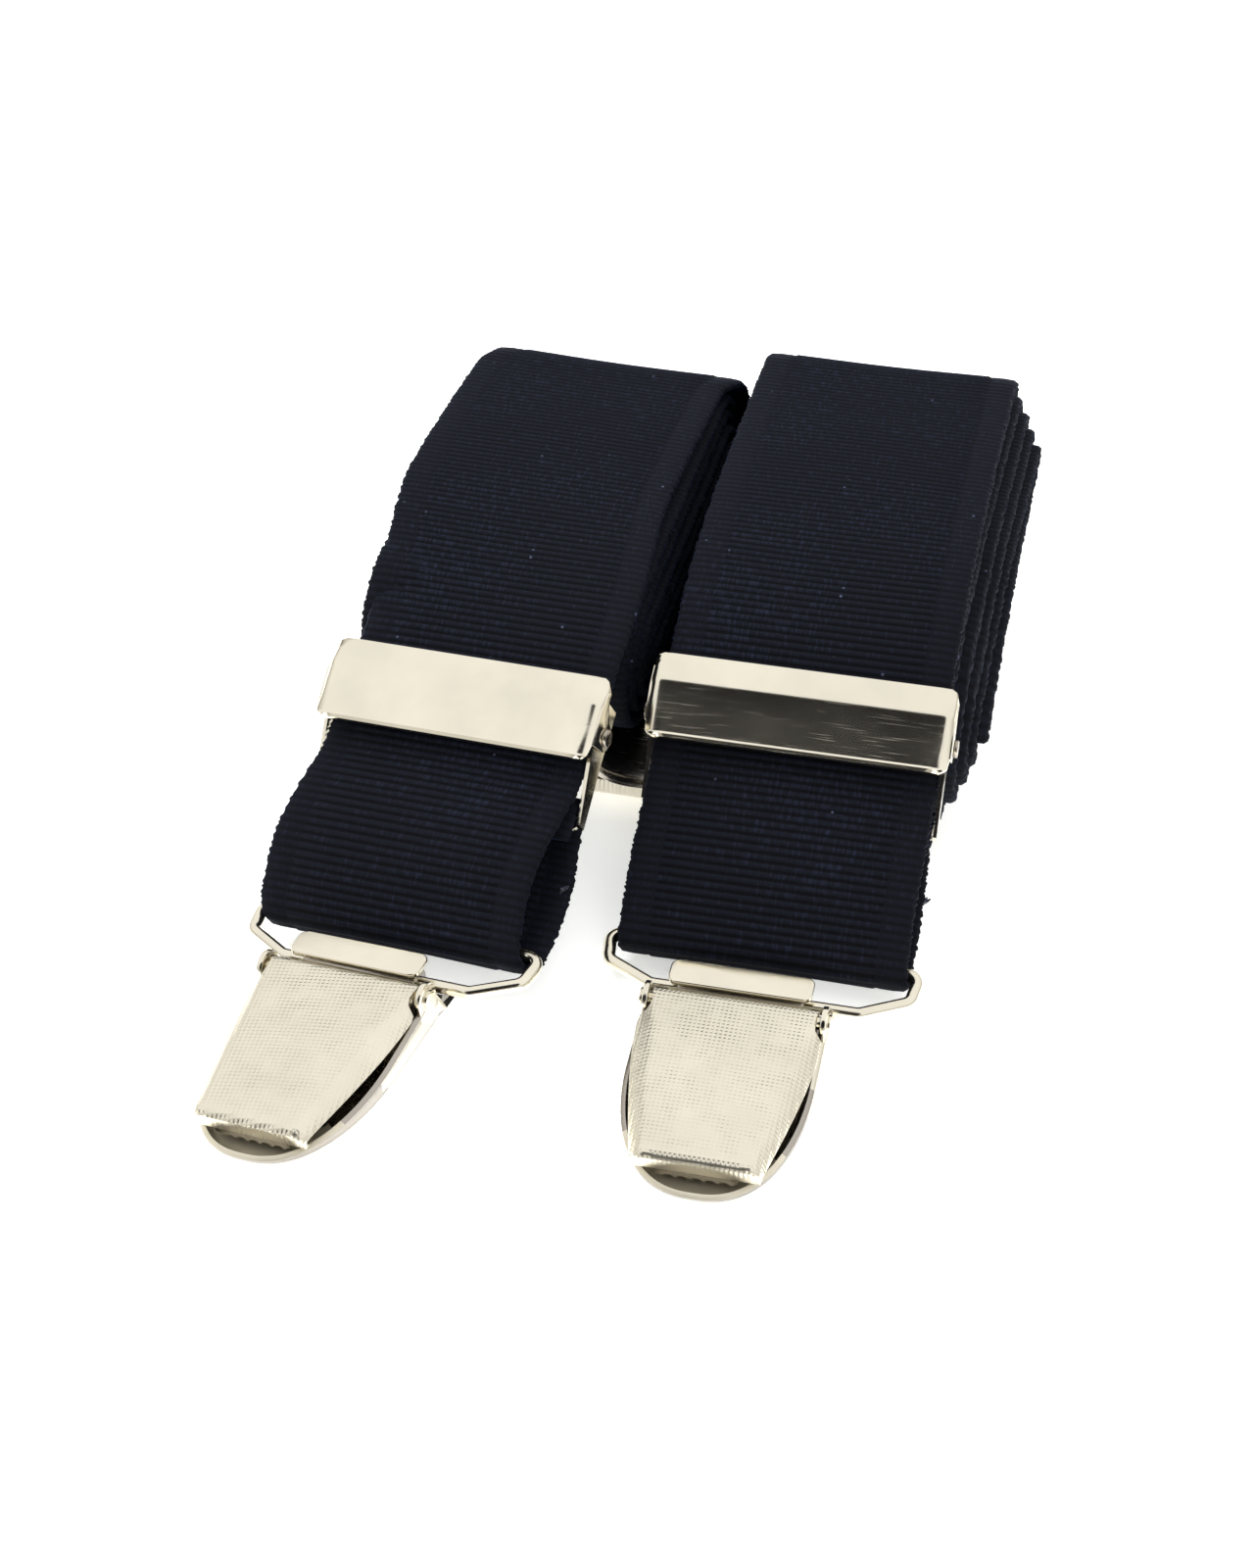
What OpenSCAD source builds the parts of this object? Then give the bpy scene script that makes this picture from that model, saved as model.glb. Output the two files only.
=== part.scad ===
// Elastic suspenders with three nickel clips, wound up flat and laid on a table.
// X runs across the straps, Y from the front clips towards the far folds, Z up.
// The origin is the middle of the footprint, on the table.

/* [Webbing] */
// Width of the elastic webbing
web_w = 35; // [30:0.5:40]
// Thickness of the webbing
web_t = 1.4; // [1.2:0.05:1.5]
// Height from one wound layer to the next
layer_pitch = 2.06; // [2:0.02:2.1]
// Half turns wound on each side of the core of a roll
half_turns = 5; // [5]
// Sideways step of each inner turn in the right roll
step_right = 1.1; // [0:0.1:1.2]
// Sideways step of each inner turn in the left roll
step_left = 0.4; // [0:0.1:0.6]

/* [Layout] */
// Middle of the near folds, measured from the strap's front end
near_y = 47; // [46:0.5:49]
// Middle of the far folds, measured from the strap's front end
far_y = 96; // [92:0.5:98]
// Height of a roll's core at its near folds
core_near_z = 19.8; // [19.6:0.1:21]
// Height of a roll's core at its far folds
core_far_z = 16.7; // [16.6:0.1:18]
// Slope of the right strap's front end, in degrees
slope_right = 34; // [32:0.5:35]
// Slope of the left strap's front end, in degrees
slope_left = 30; // [29.5:0.5:32]
// Turn of the left roll seen from above, in degrees
yaw_left = -2.7; // [-3:0.1:-2.4]
// Further turn of the left front end, in degrees
end_yaw_left = -8.5; // [-9:0.5:-6]
// Roll of the left front end, right side up, in degrees
end_roll_left = -7; // [-7:0.5:0]

/* [Adjusters] */
// Width of the adjuster's cover plate
adj_w = 37.5; // [37.5:0.1:40]
// Height of the cover plate along the strap
adj_h = 10.5; // [9:0.5:12]
// Distance of the adjuster's middle from the bail bar
adj_at = 29.2; // [28.6:0.1:29.6]

/* [Clips] */
// Overall width of a clip over its ears
clip_w = 21.8; // [21.8:0.2:24]
// Width of the cover at its free end
cover_tip_w = 12.2; // [11:0.1:13]
// Thickness of the clip's sheet metal
sheet_t = 0.7; // [0.6:0.05:0.75]
// Radius of the bail's wire
wire_r = 0.8; // [0.7:0.05:0.85]

/* [Back patch] */
// Thickness of each leather layer
leather_t = 1.1; // [0.9:0.05:1.15]

/* [Hidden] */
$fn = 48;

webbing_colour = "#171b2a";
nickel_colour = "#dcd7c6";
dark_nickel_colour = "#a9a59a";
leather_colour = "#1a1819";

// Shift that brings the footprint's middle to the origin
origin_shift = [20.244, -32.175, 0];

// Running clearance between a wire or pin and the sheet metal round it
fit_gap = 0.07;
pin_r = 0.8;
loop_r = wire_r + 0.15 + web_t / 2;

// Bail bar of a front end, from the outer face of the webbing's loop
bail_y = loop_r + web_t / 2;
bail_z = 4.2;
lift_left = 1.4;
arc_steps = 8;

// The clip's own axes: knuckle on the bail, hinge pin
knuckle_y = -4.6;
knuckle_z = 3.3;
pin_y = -8.8;
pin_z = 5;
jaw_tip_y = -35.4;
ear_r = 2.1;
clip_top_z = pin_z + ear_r;

// Levels of the patch and the folds under the rolls
rear_x = -21;
rear_y = 63;
rear_low_z = 0.05 + web_t / 2;
patch_z = 5.7;
patch_near_y = 72.5;
patch_far_y = 102;
patch_mid_x = -19.3;
rear_loop_z = 0.05 + loop_r + web_t / 2;
rear_clip_z = clip_top_z + 0.05;

// ---------------------------------------------------------------- webbing route

// A station is [x, y, z, twist]: the middle of the webbing, and how much of the
// front end's own turn and roll it has.
function arc(centre, radius, from, to, x, twist) =
    [for (i = [0:arc_steps]) let (a = from + (to - from) * i / arc_steps)
        [x, centre[0] + radius * cos(a), centre[1] + radius * sin(a), twist]];

// Half circles of one wound half, from the core outwards, near and far in turn
function wound(first_far, step) =
    [for (k = [1:half_turns])
        let (
            is_far = (k % 2 == 1) == first_far,
            radius = (2 * k - 1) * layer_pitch / 2,
            x = step * (half_turns - k)
        )
        each is_far
            ? arc([far_y, core_far_z + layer_pitch / 2], radius, -90, 90, x, 0)
            : arc([near_y, core_near_z - layer_pitch / 2], radius, 90, 270, x, 0)];

function reversed(list) = [for (i = [len(list) - 1:-1:0]) list[i]];

// The top layer falls gently from its near end to its far end
top_near_z = core_near_z + half_turns * layer_pitch;
top_fall = (core_near_z - core_far_z) / (far_y - near_y);

// Points of the straight front end at distance d up the slope, n above the bar
function front_point(slope, bar_z, d, n) =
    [bail_y + d * cos(slope) - n * sin(slope), bar_z + d * sin(slope) + n * cos(slope)];

// Where the front end's line meets the top layer's line
function bend_point(slope, bar_z) =
    let (
        start = front_point(slope, bar_z, 0, loop_r),
        y = (top_near_z + top_fall * near_y - start[1] + tan(slope) * start[0])
            / (tan(slope) + top_fall)
    )
    [y, start[1] + tan(slope) * (y - start[0])];

bend_reach = 9;

function bend_start(slope, bar_z) =
    let (corner = bend_point(slope, bar_z))
    [corner[0] + bend_reach, corner[1] - top_fall * bend_reach];

function bend(slope, bar_z) =
    let (
        corner = bend_point(slope, bar_z),
        start = bend_start(slope, bar_z),
        end = [corner[0] - bend_reach * cos(slope), corner[1] - bend_reach * sin(slope)]
    )
    [for (i = [0:arc_steps]) let (
        t = i / arc_steps,
        p = (1 - t) * (1 - t) * start + 2 * t * (1 - t) * corner + t * t * end
    ) [0, p[0], p[1], t]];

// How far the layer behind runs back up from the bail bar
return_length = 10;

function front_end(slope, bar_z) = concat(
    bend(slope, bar_z),
    arc([bail_y, bar_z], loop_r, 90 + slope, 270 + slope, 0, 1),
    [let (p = front_point(slope, bar_z, return_length, -loop_r)) [0, p[0], p[1], 1]]
);

// The outer end of the other half goes down to the patch's level before the patch's edge
tail_z = core_near_z - half_turns * layer_pitch;

function tail(edge_y) = [
    [0, edge_y + 8, patch_z, 0],
    [0, edge_y - 0.5, patch_z, 0],
    [0, edge_y - 2.5, patch_z + 0.6, 0],
    [0, edge_y - 8, tail_z - 0.6, 0],
    [0, edge_y - 10.5, tail_z, 0]
];

function strap_route(slope, bar_z, step, edge_y) = concat(
    tail(edge_y),
    reversed(wound(false, step)),
    wound(true, step),
    front_end(slope, bar_z)
);

rear_route = concat(
    [[0, patch_near_y + 11, patch_z, 0]],
    arc([patch_far_y, (patch_z + rear_low_z) / 2], (patch_z - rear_low_z) / 2, 90, -90, 0, 0),
    arc([rear_y + bail_y, rear_loop_z], loop_r, 270, 90, 0, 0),
    [[0, rear_y + 9, 2.5, 0], [0, rear_y + 22, 2.35, 0]]
);

// Turn a station about the start of the bend by its share of the front end's twist
function twisted(p, share, pivot, yaw, roll) =
    let (
        v = p - pivot,
        r = share * roll,
        w = [v[0] * cos(r) + v[2] * sin(r), v[1], -v[0] * sin(r) + v[2] * cos(r)],
        a = share * yaw
    )
    pivot + [w[0] * cos(a) - w[1] * sin(a), w[0] * sin(a) + w[1] * cos(a), w[2]];

function heading(route, i) =
    let (
        before = route[max(i - 1, 0)],
        after = route[min(i + 1, len(route) - 1)],
        d = [after[1] - before[1], after[2] - before[2]]
    )
    d / norm(d);

// The four corners of the webbing's section at each station
function section_points(route, pivot, yaw, roll, aside) =
    [for (i = [0:len(route) - 1])
        let (s = route[i], h = heading(route, i), up = [-h[1], h[0]] * web_t / 2)
        for (corner = [[-1, -1], [1, -1], [1, 1], [-1, 1]])
            twisted(
                [s[0] + corner[0] * web_w / 2, s[1] + corner[1] * up[0], s[2] + corner[1] * up[1]],
                s[3], pivot, yaw, roll
            ) + [s[3] * aside, 0, 0]];

function ring_faces(rings) =
    [for (i = [0:rings - 2], k = [0:3])
        let (a = 4 * i + k, b = 4 * i + (k + 1) % 4)
        each [[a, b, b + 4], [a, b + 4, a + 4]]];

module webbing(route, pivot = [0, 0, 0], yaw = 0, roll = 0, aside = 0) {
    rings = len(route);
    last = 4 * (rings - 1);
    polyhedron(
        points = section_points(route, pivot, yaw, roll, aside),
        faces = concat(
            ring_faces(rings),
            [[3, 2, 1, 0], [last, last + 1, last + 2, last + 3]]
        ),
        convexity = 12
    );
}

// ---------------------------------------------------------------- places

module on_table() {
    translate(origin_shift) children();
}

left_at = [-42.8, -7, 0];

// How far the left front end stands to the right of its roll
end_shift_left = 3.8;

// The patch's near edge in the left roll's own frame, where it first meets the webbing
left_edge_y = (patch_near_y - left_at[1] + web_w / 2 * sin(yaw_left)) / cos(yaw_left);

module left_roll_place() {
    on_table() translate(left_at) rotate([0, 0, yaw_left]) children();
}

function end_pivot(slope, bar_z) =
    let (p = bend_start(slope, bar_z)) [0, p[0], p[1]];

left_pivot = end_pivot(slope_left, bail_z + lift_left);

module left_end_place() {
    left_roll_place()
        translate(left_pivot + [end_shift_left, 0, 0])
            rotate([0, 0, end_yaw_left])
                rotate([0, end_roll_left, 0])
                    translate(-left_pivot)
                        children();
}

// The clips hang a little to one side on their bails
clip_shift = -1.5;

module left_clip_place() {
    left_end_place() translate([clip_shift, 0, lift_left]) children();
}

module right_clip_place() {
    on_table() translate([clip_shift, 0, 0]) children();
}

// The rear clip lies face down, a little nearer its bail bar than the front clips
bail_rise = abs(rear_loop_z - (rear_clip_z - knuckle_z));
bail_depth = norm([bail_y - knuckle_y, bail_z - knuckle_z]);
rear_clip_shift = (bail_y - knuckle_y) - sqrt(bail_depth * bail_depth - bail_rise * bail_rise);

module rear_clip_place() {
    on_table()
        translate([rear_x, rear_y + rear_clip_shift, rear_clip_z])
            rotate([0, 180, 0])
                children();
}

module adjuster_place(slope, bar_z) {
    middle = front_point(slope, bar_z, adj_at, loop_r);
    translate([0, middle[0], middle[1]]) rotate([slope, 0, 0]) children();
}

module left_adjuster_place() {
    left_end_place() adjuster_place(slope_left, bail_z + lift_left) children();
}

module right_adjuster_place() {
    on_table() adjuster_place(slope_right, bail_z) children();
}

// ---------------------------------------------------------------- straps and patch

module left_strap() {
    color(webbing_colour)
        left_roll_place()
            webbing(
                strap_route(slope_left, bail_z + lift_left, step_left, left_edge_y),
                left_pivot, end_yaw_left, end_roll_left, end_shift_left
            );
}

module right_strap() {
    color(webbing_colour)
        on_table()
            webbing(strap_route(slope_right, bail_z, step_right, patch_near_y));
}

module rear_strap() {
    color(webbing_colour)
        on_table()
            translate([rear_x, 0, 0])
                webbing(rear_route);
}

patch_margin = 2;
patch_gap = 0.1;

module patch_outline() {
    wide = 2 * 38.6;
    narrow = web_w + 2 * patch_margin;
    polygon([
        [patch_mid_x - wide / 2, patch_near_y],
        [patch_mid_x + wide / 2, patch_near_y],
        [patch_mid_x + wide / 2, patch_near_y + 8],
        [rear_x + narrow / 2, patch_far_y - 8],
        [rear_x + narrow / 2, patch_far_y],
        [rear_x - narrow / 2, patch_far_y],
        [rear_x - narrow / 2, patch_far_y - 8],
        [patch_mid_x - wide / 2, patch_near_y + 8]
    ]);
}

module patch_layer(bottom_z) {
    color(leather_colour)
        on_table()
            translate([0, 0, bottom_z])
                linear_extrude(leather_t)
                    patch_outline();
}

module patch_top_leather() {
    patch_layer(patch_z + web_t / 2 + patch_gap);
}

module patch_under_leather() {
    patch_layer(patch_z - web_t / 2 - patch_gap - leather_t);
}

// ---------------------------------------------------------------- bails

bail_half = web_w / 2 + 1.3;
bail_bend_r = 1.5;
bend_steps = 5;
wire_sides = 16;

// Corners of the bail in its own plane: the top bar at y = 0, the knuckle bar below
bail_corners = [
    [-bail_half, 0], [bail_half, 0], [bail_half - 0.6, -0.6 * bail_depth],
    [12.5, -bail_depth], [-12.5, -bail_depth], [-bail_half + 0.6, -0.6 * bail_depth]
];

function unit(v) = v / norm(v);

// Points round one bend of the wire, each with its direction out of the loop
function corner_points(before, at, after) =
    let (
        u = unit(before - at),
        v = unit(after - at),
        half = acos(u * v) / 2,
        centre = at + unit(u + v) * bail_bend_r / sin(half),
        from = at + u * bail_bend_r / tan(half) - centre,
        start = atan2(from[1], from[0]),
        turn = 180 - 2 * half
    )
    [for (i = [0:bend_steps]) let (a = start - turn * i / bend_steps)
        [centre[0] + bail_bend_r * cos(a), centre[1] + bail_bend_r * sin(a), a]];

bail_path = let (count = len(bail_corners)) [for (i = [0:count - 1]) each corner_points(
    bail_corners[(i + count - 1) % count], bail_corners[i], bail_corners[(i + 1) % count]
)];

module wire_loop() {
    rings = len(bail_path);
    polyhedron(
        points = [for (p = bail_path, k = [0:wire_sides - 1])
            let (b = 360 * k / wire_sides, out = wire_r * cos(b))
            [p[0] + out * cos(p[2]), p[1] + out * sin(p[2]), wire_r * sin(b)]],
        faces = [for (i = [0:rings - 1], k = [0:wire_sides - 1])
            let (
                next_ring = ((i + 1) % rings) * wire_sides,
                next_side = (k + 1) % wire_sides,
                a = i * wire_sides + k,
                b = i * wire_sides + next_side
            )
            each [[a, next_ring + next_side, b], [a, next_ring + k, next_ring + next_side]]],
        convexity = 4
    );
}

// The bail from its bar's height down to the knuckle's height
module bail(bar_z, knuckle_height) {
    color(nickel_colour)
        translate([0, bail_y, bar_z])
            rotate([asin((bar_z - knuckle_height) / bail_depth), 0, 0])
                wire_loop();
}

module left_bail() {
    left_end_place() bail(bail_z + lift_left, knuckle_z + lift_left);
}

module right_bail() {
    on_table() bail(bail_z, knuckle_z);
}

module rear_bail() {
    on_table()
        translate([rear_x, rear_y, 0])
            bail(rear_loop_z, rear_clip_z - knuckle_z);
}

// ---------------------------------------------------------------- clips

ear_x = clip_w / 2 - sheet_t;
jaw_round_y = -18;
jaw_steps = 16;

// Rounded tongue outline, drawn in by inset
function jaw_side(inset) =
    [for (i = [0:jaw_steps])
        let (a = 90 * i / jaw_steps)
        [(clip_w / 2 - inset) * pow(cos(a), 0.8),
            jaw_round_y + (jaw_tip_y - jaw_round_y + inset) * sin(a)]];

module jaw_outline(inset, back_y) {
    side = jaw_side(inset);
    polygon(concat(
        [[clip_w / 2 - inset, back_y]],
        side,
        [for (i = [jaw_steps - 1:-1:0]) [-side[i][0], side[i][1]]],
        [[-clip_w / 2 + inset, back_y]]
    ));
}

module across(half_length) {
    rotate([90, 0, 90]) translate([0, 0, -half_length]) children();
}

tab_half = 8.6;
knuckle_half = 7.5;
knuckle_r = 1.7;
plate_back_y = -3;
wall_back_y = -6.6;

module jaw() {
    wall_fall = atan((4.6 - 1.5) / (wall_back_y - jaw_tip_y));
    color(dark_nickel_colour)
        difference() {
            union() {
                difference() {
                    linear_extrude(clip_top_z) jaw_outline(0, plate_back_y);
                    translate([0, 0, sheet_t])
                        linear_extrude(clip_top_z) jaw_outline(sheet_t, plate_back_y + 1);
                    translate([-clip_w, wall_back_y, sheet_t]) cube([2 * clip_w, 10, 10]);
                    translate([-clip_w, wall_back_y, 4.6])
                        rotate([wall_fall, 0, 0])
                            translate([0, -50, 0])
                                cube([2 * clip_w, 52, 10]);
                }
                for (side = [-1, 1])
                    translate([side * (ear_x + sheet_t / 2), 0, 0])
                        across(sheet_t / 2) {
                            translate([pin_y, pin_z]) linear_extrude(sheet_t) circle(r = ear_r);
                            linear_extrude(sheet_t)
                                polygon([
                                    [pin_y - ear_r, 3], [pin_y + ear_r, 3],
                                    [pin_y + ear_r, pin_z], [pin_y - ear_r, pin_z]
                                ]);
                        }
                across(knuckle_half) {
                    translate([knuckle_y, knuckle_z])
                        linear_extrude(2 * knuckle_half) circle(r = knuckle_r);
                    linear_extrude(2 * knuckle_half)
                        polygon([
                            [knuckle_y - 0.9, sheet_t / 2], [knuckle_y + 0.9, sheet_t / 2],
                            [knuckle_y + 0.9, knuckle_z], [knuckle_y - 0.9, knuckle_z]
                        ]);
                    linear_extrude(2 * knuckle_half)
                        polygon([
                            [knuckle_y - 0.6, knuckle_z], [knuckle_y + 0.6, knuckle_z],
                            [knuckle_y + 0.6, 6], [knuckle_y - 0.6, 6]
                        ]);
                }
                translate([0, 0, 5.8]) linear_extrude(sheet_t) tab_outline();
            }
            across(clip_w)
                translate([knuckle_y, knuckle_z])
                    linear_extrude(2 * clip_w) circle(r = wire_r + fit_gap);
            across(clip_w)
                translate([pin_y, pin_z])
                    linear_extrude(2 * clip_w) circle(r = pin_r + 0.02);
        }
}

module tab_outline() {
    front_y = -6.9;
    back_y = -2.9;
    corner = 1.2;
    translate([-tab_half, front_y]) square([2 * tab_half, back_y - front_y - corner]);
    translate([-tab_half + corner, front_y]) square([2 * (tab_half - corner), back_y - front_y]);
    for (side = [-1, 1])
        translate([side * (tab_half - corner), back_y - corner]) circle(r = corner);
}

barrel_r = 1.55;
cover_half = ear_x - 0.3;
cover_len = 24.4;
cover_tilt = 3.2;
flange_drop = 1.2;
split_x = 4.3;

module cover_outline(inset) {
    tip_half = cover_tip_w / 2;
    polygon([
        [-cover_half + inset, 0], [cover_half - inset, 0],
        [tip_half - inset, -cover_len], [-tip_half + inset, -cover_len]
    ]);
}

module cover() {
    color(nickel_colour)
        translate([0, pin_y, pin_z])
            rotate([cover_tilt, 0, 0])
                difference() {
                    union() {
                        translate([0, 0, barrel_r - sheet_t]) linear_extrude(sheet_t) cover_outline(0);
                        difference() {
                            translate([0, 0, -flange_drop])
                                linear_extrude(flange_drop + barrel_r - sheet_t / 2) cover_outline(0);
                            translate([0, 0, -flange_drop - 1])
                                linear_extrude(flange_drop + 10) cover_outline(sheet_t);
                            translate([-clip_w, -3, -flange_drop - 1])
                                cube([2 * clip_w, 10, flange_drop + 1 + barrel_r - sheet_t]);
                            translate([-clip_w, -cover_len - 5, -flange_drop - 1])
                                cube([2 * clip_w, 5 + sheet_t, flange_drop + 1 + barrel_r - sheet_t]);
                        }
                        for (side = [-1, 1])
                            translate([side * (cover_half + split_x) / 2, 0, 0])
                                across((cover_half - split_x) / 2)
                                    linear_extrude(cover_half - split_x) circle(r = barrel_r);
                    }
                    across(clip_w) linear_extrude(2 * clip_w) circle(r = pin_r + fit_gap);
                    translate([-split_x, -barrel_r - 1.4, -5])
                        cube([2 * split_x, 2 * barrel_r + 1.4, 5 + barrel_r - sheet_t]);
                    translate([-split_x, -barrel_r - 0.1, -barrel_r])
                        cube([2 * split_x, 2 * barrel_r + 0.1, 3 * barrel_r]);
                }
}

clamp_tilt = 7.6;
clamp_len = 24;
clamp_barrel_r = 1.45;
clamp_half = split_x - 0.3;
tooth_count = 6;

module clamp() {
    root_half = 7;
    tip_half = 4.8;
    color(dark_nickel_colour)
        translate([0, pin_y, pin_z])
            rotate([clamp_tilt, 0, 0])
                difference() {
                    union() {
                        across(clamp_half) linear_extrude(2 * clamp_half) circle(r = clamp_barrel_r);
                        translate([0, 0, -sheet_t / 2])
                            linear_extrude(sheet_t)
                                polygon([
                                    [-clamp_half, 0], [clamp_half, 0], [clamp_half, -3],
                                    [root_half, -5], [tip_half, -clamp_len],
                                    [-tip_half, -clamp_len], [-root_half, -5], [-clamp_half, -3]
                                ]);
                        for (i = [0:tooth_count - 1])
                            translate([-tip_half + (i + 0.5) * 2 * tip_half / tooth_count, -clamp_len, 0])
                                rotate([-90, 0, 0])
                                    linear_extrude(2)
                                        polygon([[-0.5, sheet_t / 2], [0.5, sheet_t / 2], [0, 0.8]]);
                    }
                    across(clip_w) linear_extrude(2 * clip_w) circle(r = pin_r + fit_gap);
                }
}

pin_head_r = 1.2;
pin_head_t = 0.4;

module pin() {
    color(dark_nickel_colour)
        translate([0, pin_y, pin_z]) {
            across(clip_w / 2 + 0.05) linear_extrude(clip_w + 0.1) circle(r = pin_r);
            for (side = [-1, 1])
                translate([side * (clip_w / 2 + 0.05 + pin_head_t / 2), 0, 0])
                    across(pin_head_t / 2)
                        linear_extrude(pin_head_t) circle(r = pin_head_r);
        }
}

module left_clip_jaw() { left_clip_place() jaw(); }
module left_clip_cover() { left_clip_place() cover(); }
module left_clip_clamp() { left_clip_place() clamp(); }
module left_clip_pin() { left_clip_place() pin(); }
module right_clip_jaw() { right_clip_place() jaw(); }
module right_clip_cover() { right_clip_place() cover(); }
module right_clip_clamp() { right_clip_place() clamp(); }
module right_clip_pin() { right_clip_place() pin(); }
module rear_clip_jaw() { rear_clip_place() jaw(); }
module rear_clip_cover() { rear_clip_place() cover(); }
module rear_clip_clamp() { rear_clip_place() clamp(); }
module rear_clip_pin() { rear_clip_place() pin(); }

// ---------------------------------------------------------------- adjusters

// The adjuster's own frame: y up the strap, z out of its face, strap middle at z = 0
pivot_y = -1.2;
pivot_z = 0.2;
rail_t = 0.45;
rail_x = web_w / 2 + 0.2;
rivet_r = 0.6;
adj_plate_t = 0.6;
frame_foot_y = -12;
frame_tooth = 1.2;
frame_teeth = 12;

module adjuster_frame() {
    color(nickel_colour)
        difference() {
            union() {
                for (side = [-1, 1])
                    translate([side * (rail_x + rail_t / 2), 0, 0])
                        across(rail_t / 2)
                            linear_extrude(rail_t)
                                polygon([
                                    [frame_foot_y, -3.4], [frame_foot_y, -1.8], [-4, 1.2],
                                    [1.5, 1.6], [3, 1], [3, -1.9], [-4, -2.4]
                                ]);
                translate([-rail_x - rail_t / 2, 1.4, -1.9]) cube([2 * rail_x + rail_t, 1.6, 0.8]);
                translate([-rail_x - rail_t / 2, frame_foot_y, -3.4])
                    cube([2 * rail_x + rail_t, 1.6, 1]);
                translate([0, frame_foot_y, -3.1]) linear_extrude(0.6) frame_comb();
            }
            across(adj_w)
                translate([pivot_y, pivot_z])
                    linear_extrude(2 * adj_w) circle(r = rivet_r + 0.02);
        }
}

module frame_comb() {
    pitch = 2 * rail_x / frame_teeth;
    for (i = [0:frame_teeth - 1])
        translate([-rail_x + (i + 0.5) * pitch, 0])
            polygon([[-pitch / 2, 0.2], [0, -frame_tooth], [pitch / 2, 0.2]]);
}

module rounded_plate(width, height, corner) {
    square([width - 2 * corner, height], center = true);
    square([width, height - 2 * corner], center = true);
    for (x = [-1, 1], y = [-1, 1])
        translate([x * (width / 2 - corner), y * (height / 2 - corner)]) circle(r = corner);
}

ear_t = 0.4;
lip_y = 0.9;
lip_teeth = 14;

module adjuster_cover() {
    half = adj_h / 2;
    color(nickel_colour)
        difference() {
            union() {
                intersection() {
                    across(adj_w / 2)
                        linear_extrude(adj_w)
                            polygon([
                                [-half, 2.7], [-half, 2.7 + adj_plate_t], [0.9, 3.3 + adj_plate_t],
                                [half, 2.4 + adj_plate_t], [half, 2.4], [0.9, 3.3]
                            ]);
                    linear_extrude(10) rounded_plate(adj_w, adj_h, 1.4);
                }
                for (side = [-1, 1])
                    translate([side * (adj_w - ear_t) / 2, 0, 0])
                        across(ear_t / 2) {
                            translate([pivot_y, pivot_z]) linear_extrude(ear_t) circle(r = 1.8);
                            linear_extrude(ear_t)
                                polygon([
                                    [-3, pivot_z], [0.6, pivot_z], [3.6, 2.9], [0.9, 3.5], [-3.4, 3]
                                ]);
                        }
                translate([0, lip_y + 0.3, 3.5]) rotate([90, 0, 0]) linear_extrude(0.6) lip_comb();
            }
            across(adj_w)
                translate([pivot_y, pivot_z])
                    linear_extrude(2 * adj_w) circle(r = rivet_r + fit_gap);
        }
}

// Toothed lip that bites the webbing, hanging from the plate
module lip_comb() {
    half = web_w / 2 - 1;
    pitch = 2 * half / lip_teeth;
    drop = 2;
    translate([-half, -drop]) square([2 * half, drop]);
    for (i = [0:lip_teeth - 1])
        translate([-half + (i + 0.5) * pitch, -drop])
            polygon([[-pitch / 2, 0.1], [0, -0.6], [pitch / 2, 0.1]]);
}

module adjuster_rivets() {
    color(dark_nickel_colour)
        for (side = [-1, 1])
            translate([0, pivot_y, pivot_z])
                rotate([0, side * 90, 0])
                    translate([0, 0, rail_x]) {
                        cylinder(r = rivet_r, h = adj_w / 2 - rail_x + 0.1);
                        translate([0, 0, adj_w / 2 - rail_x + 0.05]) cylinder(r = 1.1, h = 0.5);
                    }
}

module left_adjuster_frame() { left_adjuster_place() adjuster_frame(); }
module left_adjuster_cover() { left_adjuster_place() adjuster_cover(); }
module left_adjuster_rivets() { left_adjuster_place() adjuster_rivets(); }
module right_adjuster_frame() { right_adjuster_place() adjuster_frame(); }
module right_adjuster_cover() { right_adjuster_place() adjuster_cover(); }
module right_adjuster_rivets() { right_adjuster_place() adjuster_rivets(); }

// ---------------------------------------------------------------- the model

left_strap();
right_strap();
rear_strap();
patch_top_leather();
patch_under_leather();
left_adjuster_frame();
left_adjuster_cover();
left_adjuster_rivets();
right_adjuster_frame();
right_adjuster_cover();
right_adjuster_rivets();
left_bail();
left_clip_jaw();
left_clip_cover();
left_clip_clamp();
left_clip_pin();
right_bail();
right_clip_jaw();
right_clip_cover();
right_clip_clamp();
right_clip_pin();
rear_bail();
rear_clip_jaw();
rear_clip_cover();
rear_clip_clamp();
rear_clip_pin();
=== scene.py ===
"""Looks for a pair of clip-on suspenders: wound elastic straps, slide adjusters, wire bails and lever clips.

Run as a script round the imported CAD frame. All lengths in the functions are millimetres in the layout's own
axes (X across the straps, Y from the front ends to the far folds, Z up) until a place turns them into metres.
"""

import math
import random

import bpy
import numpy as np
from mathutils import Matrix, Vector


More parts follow.
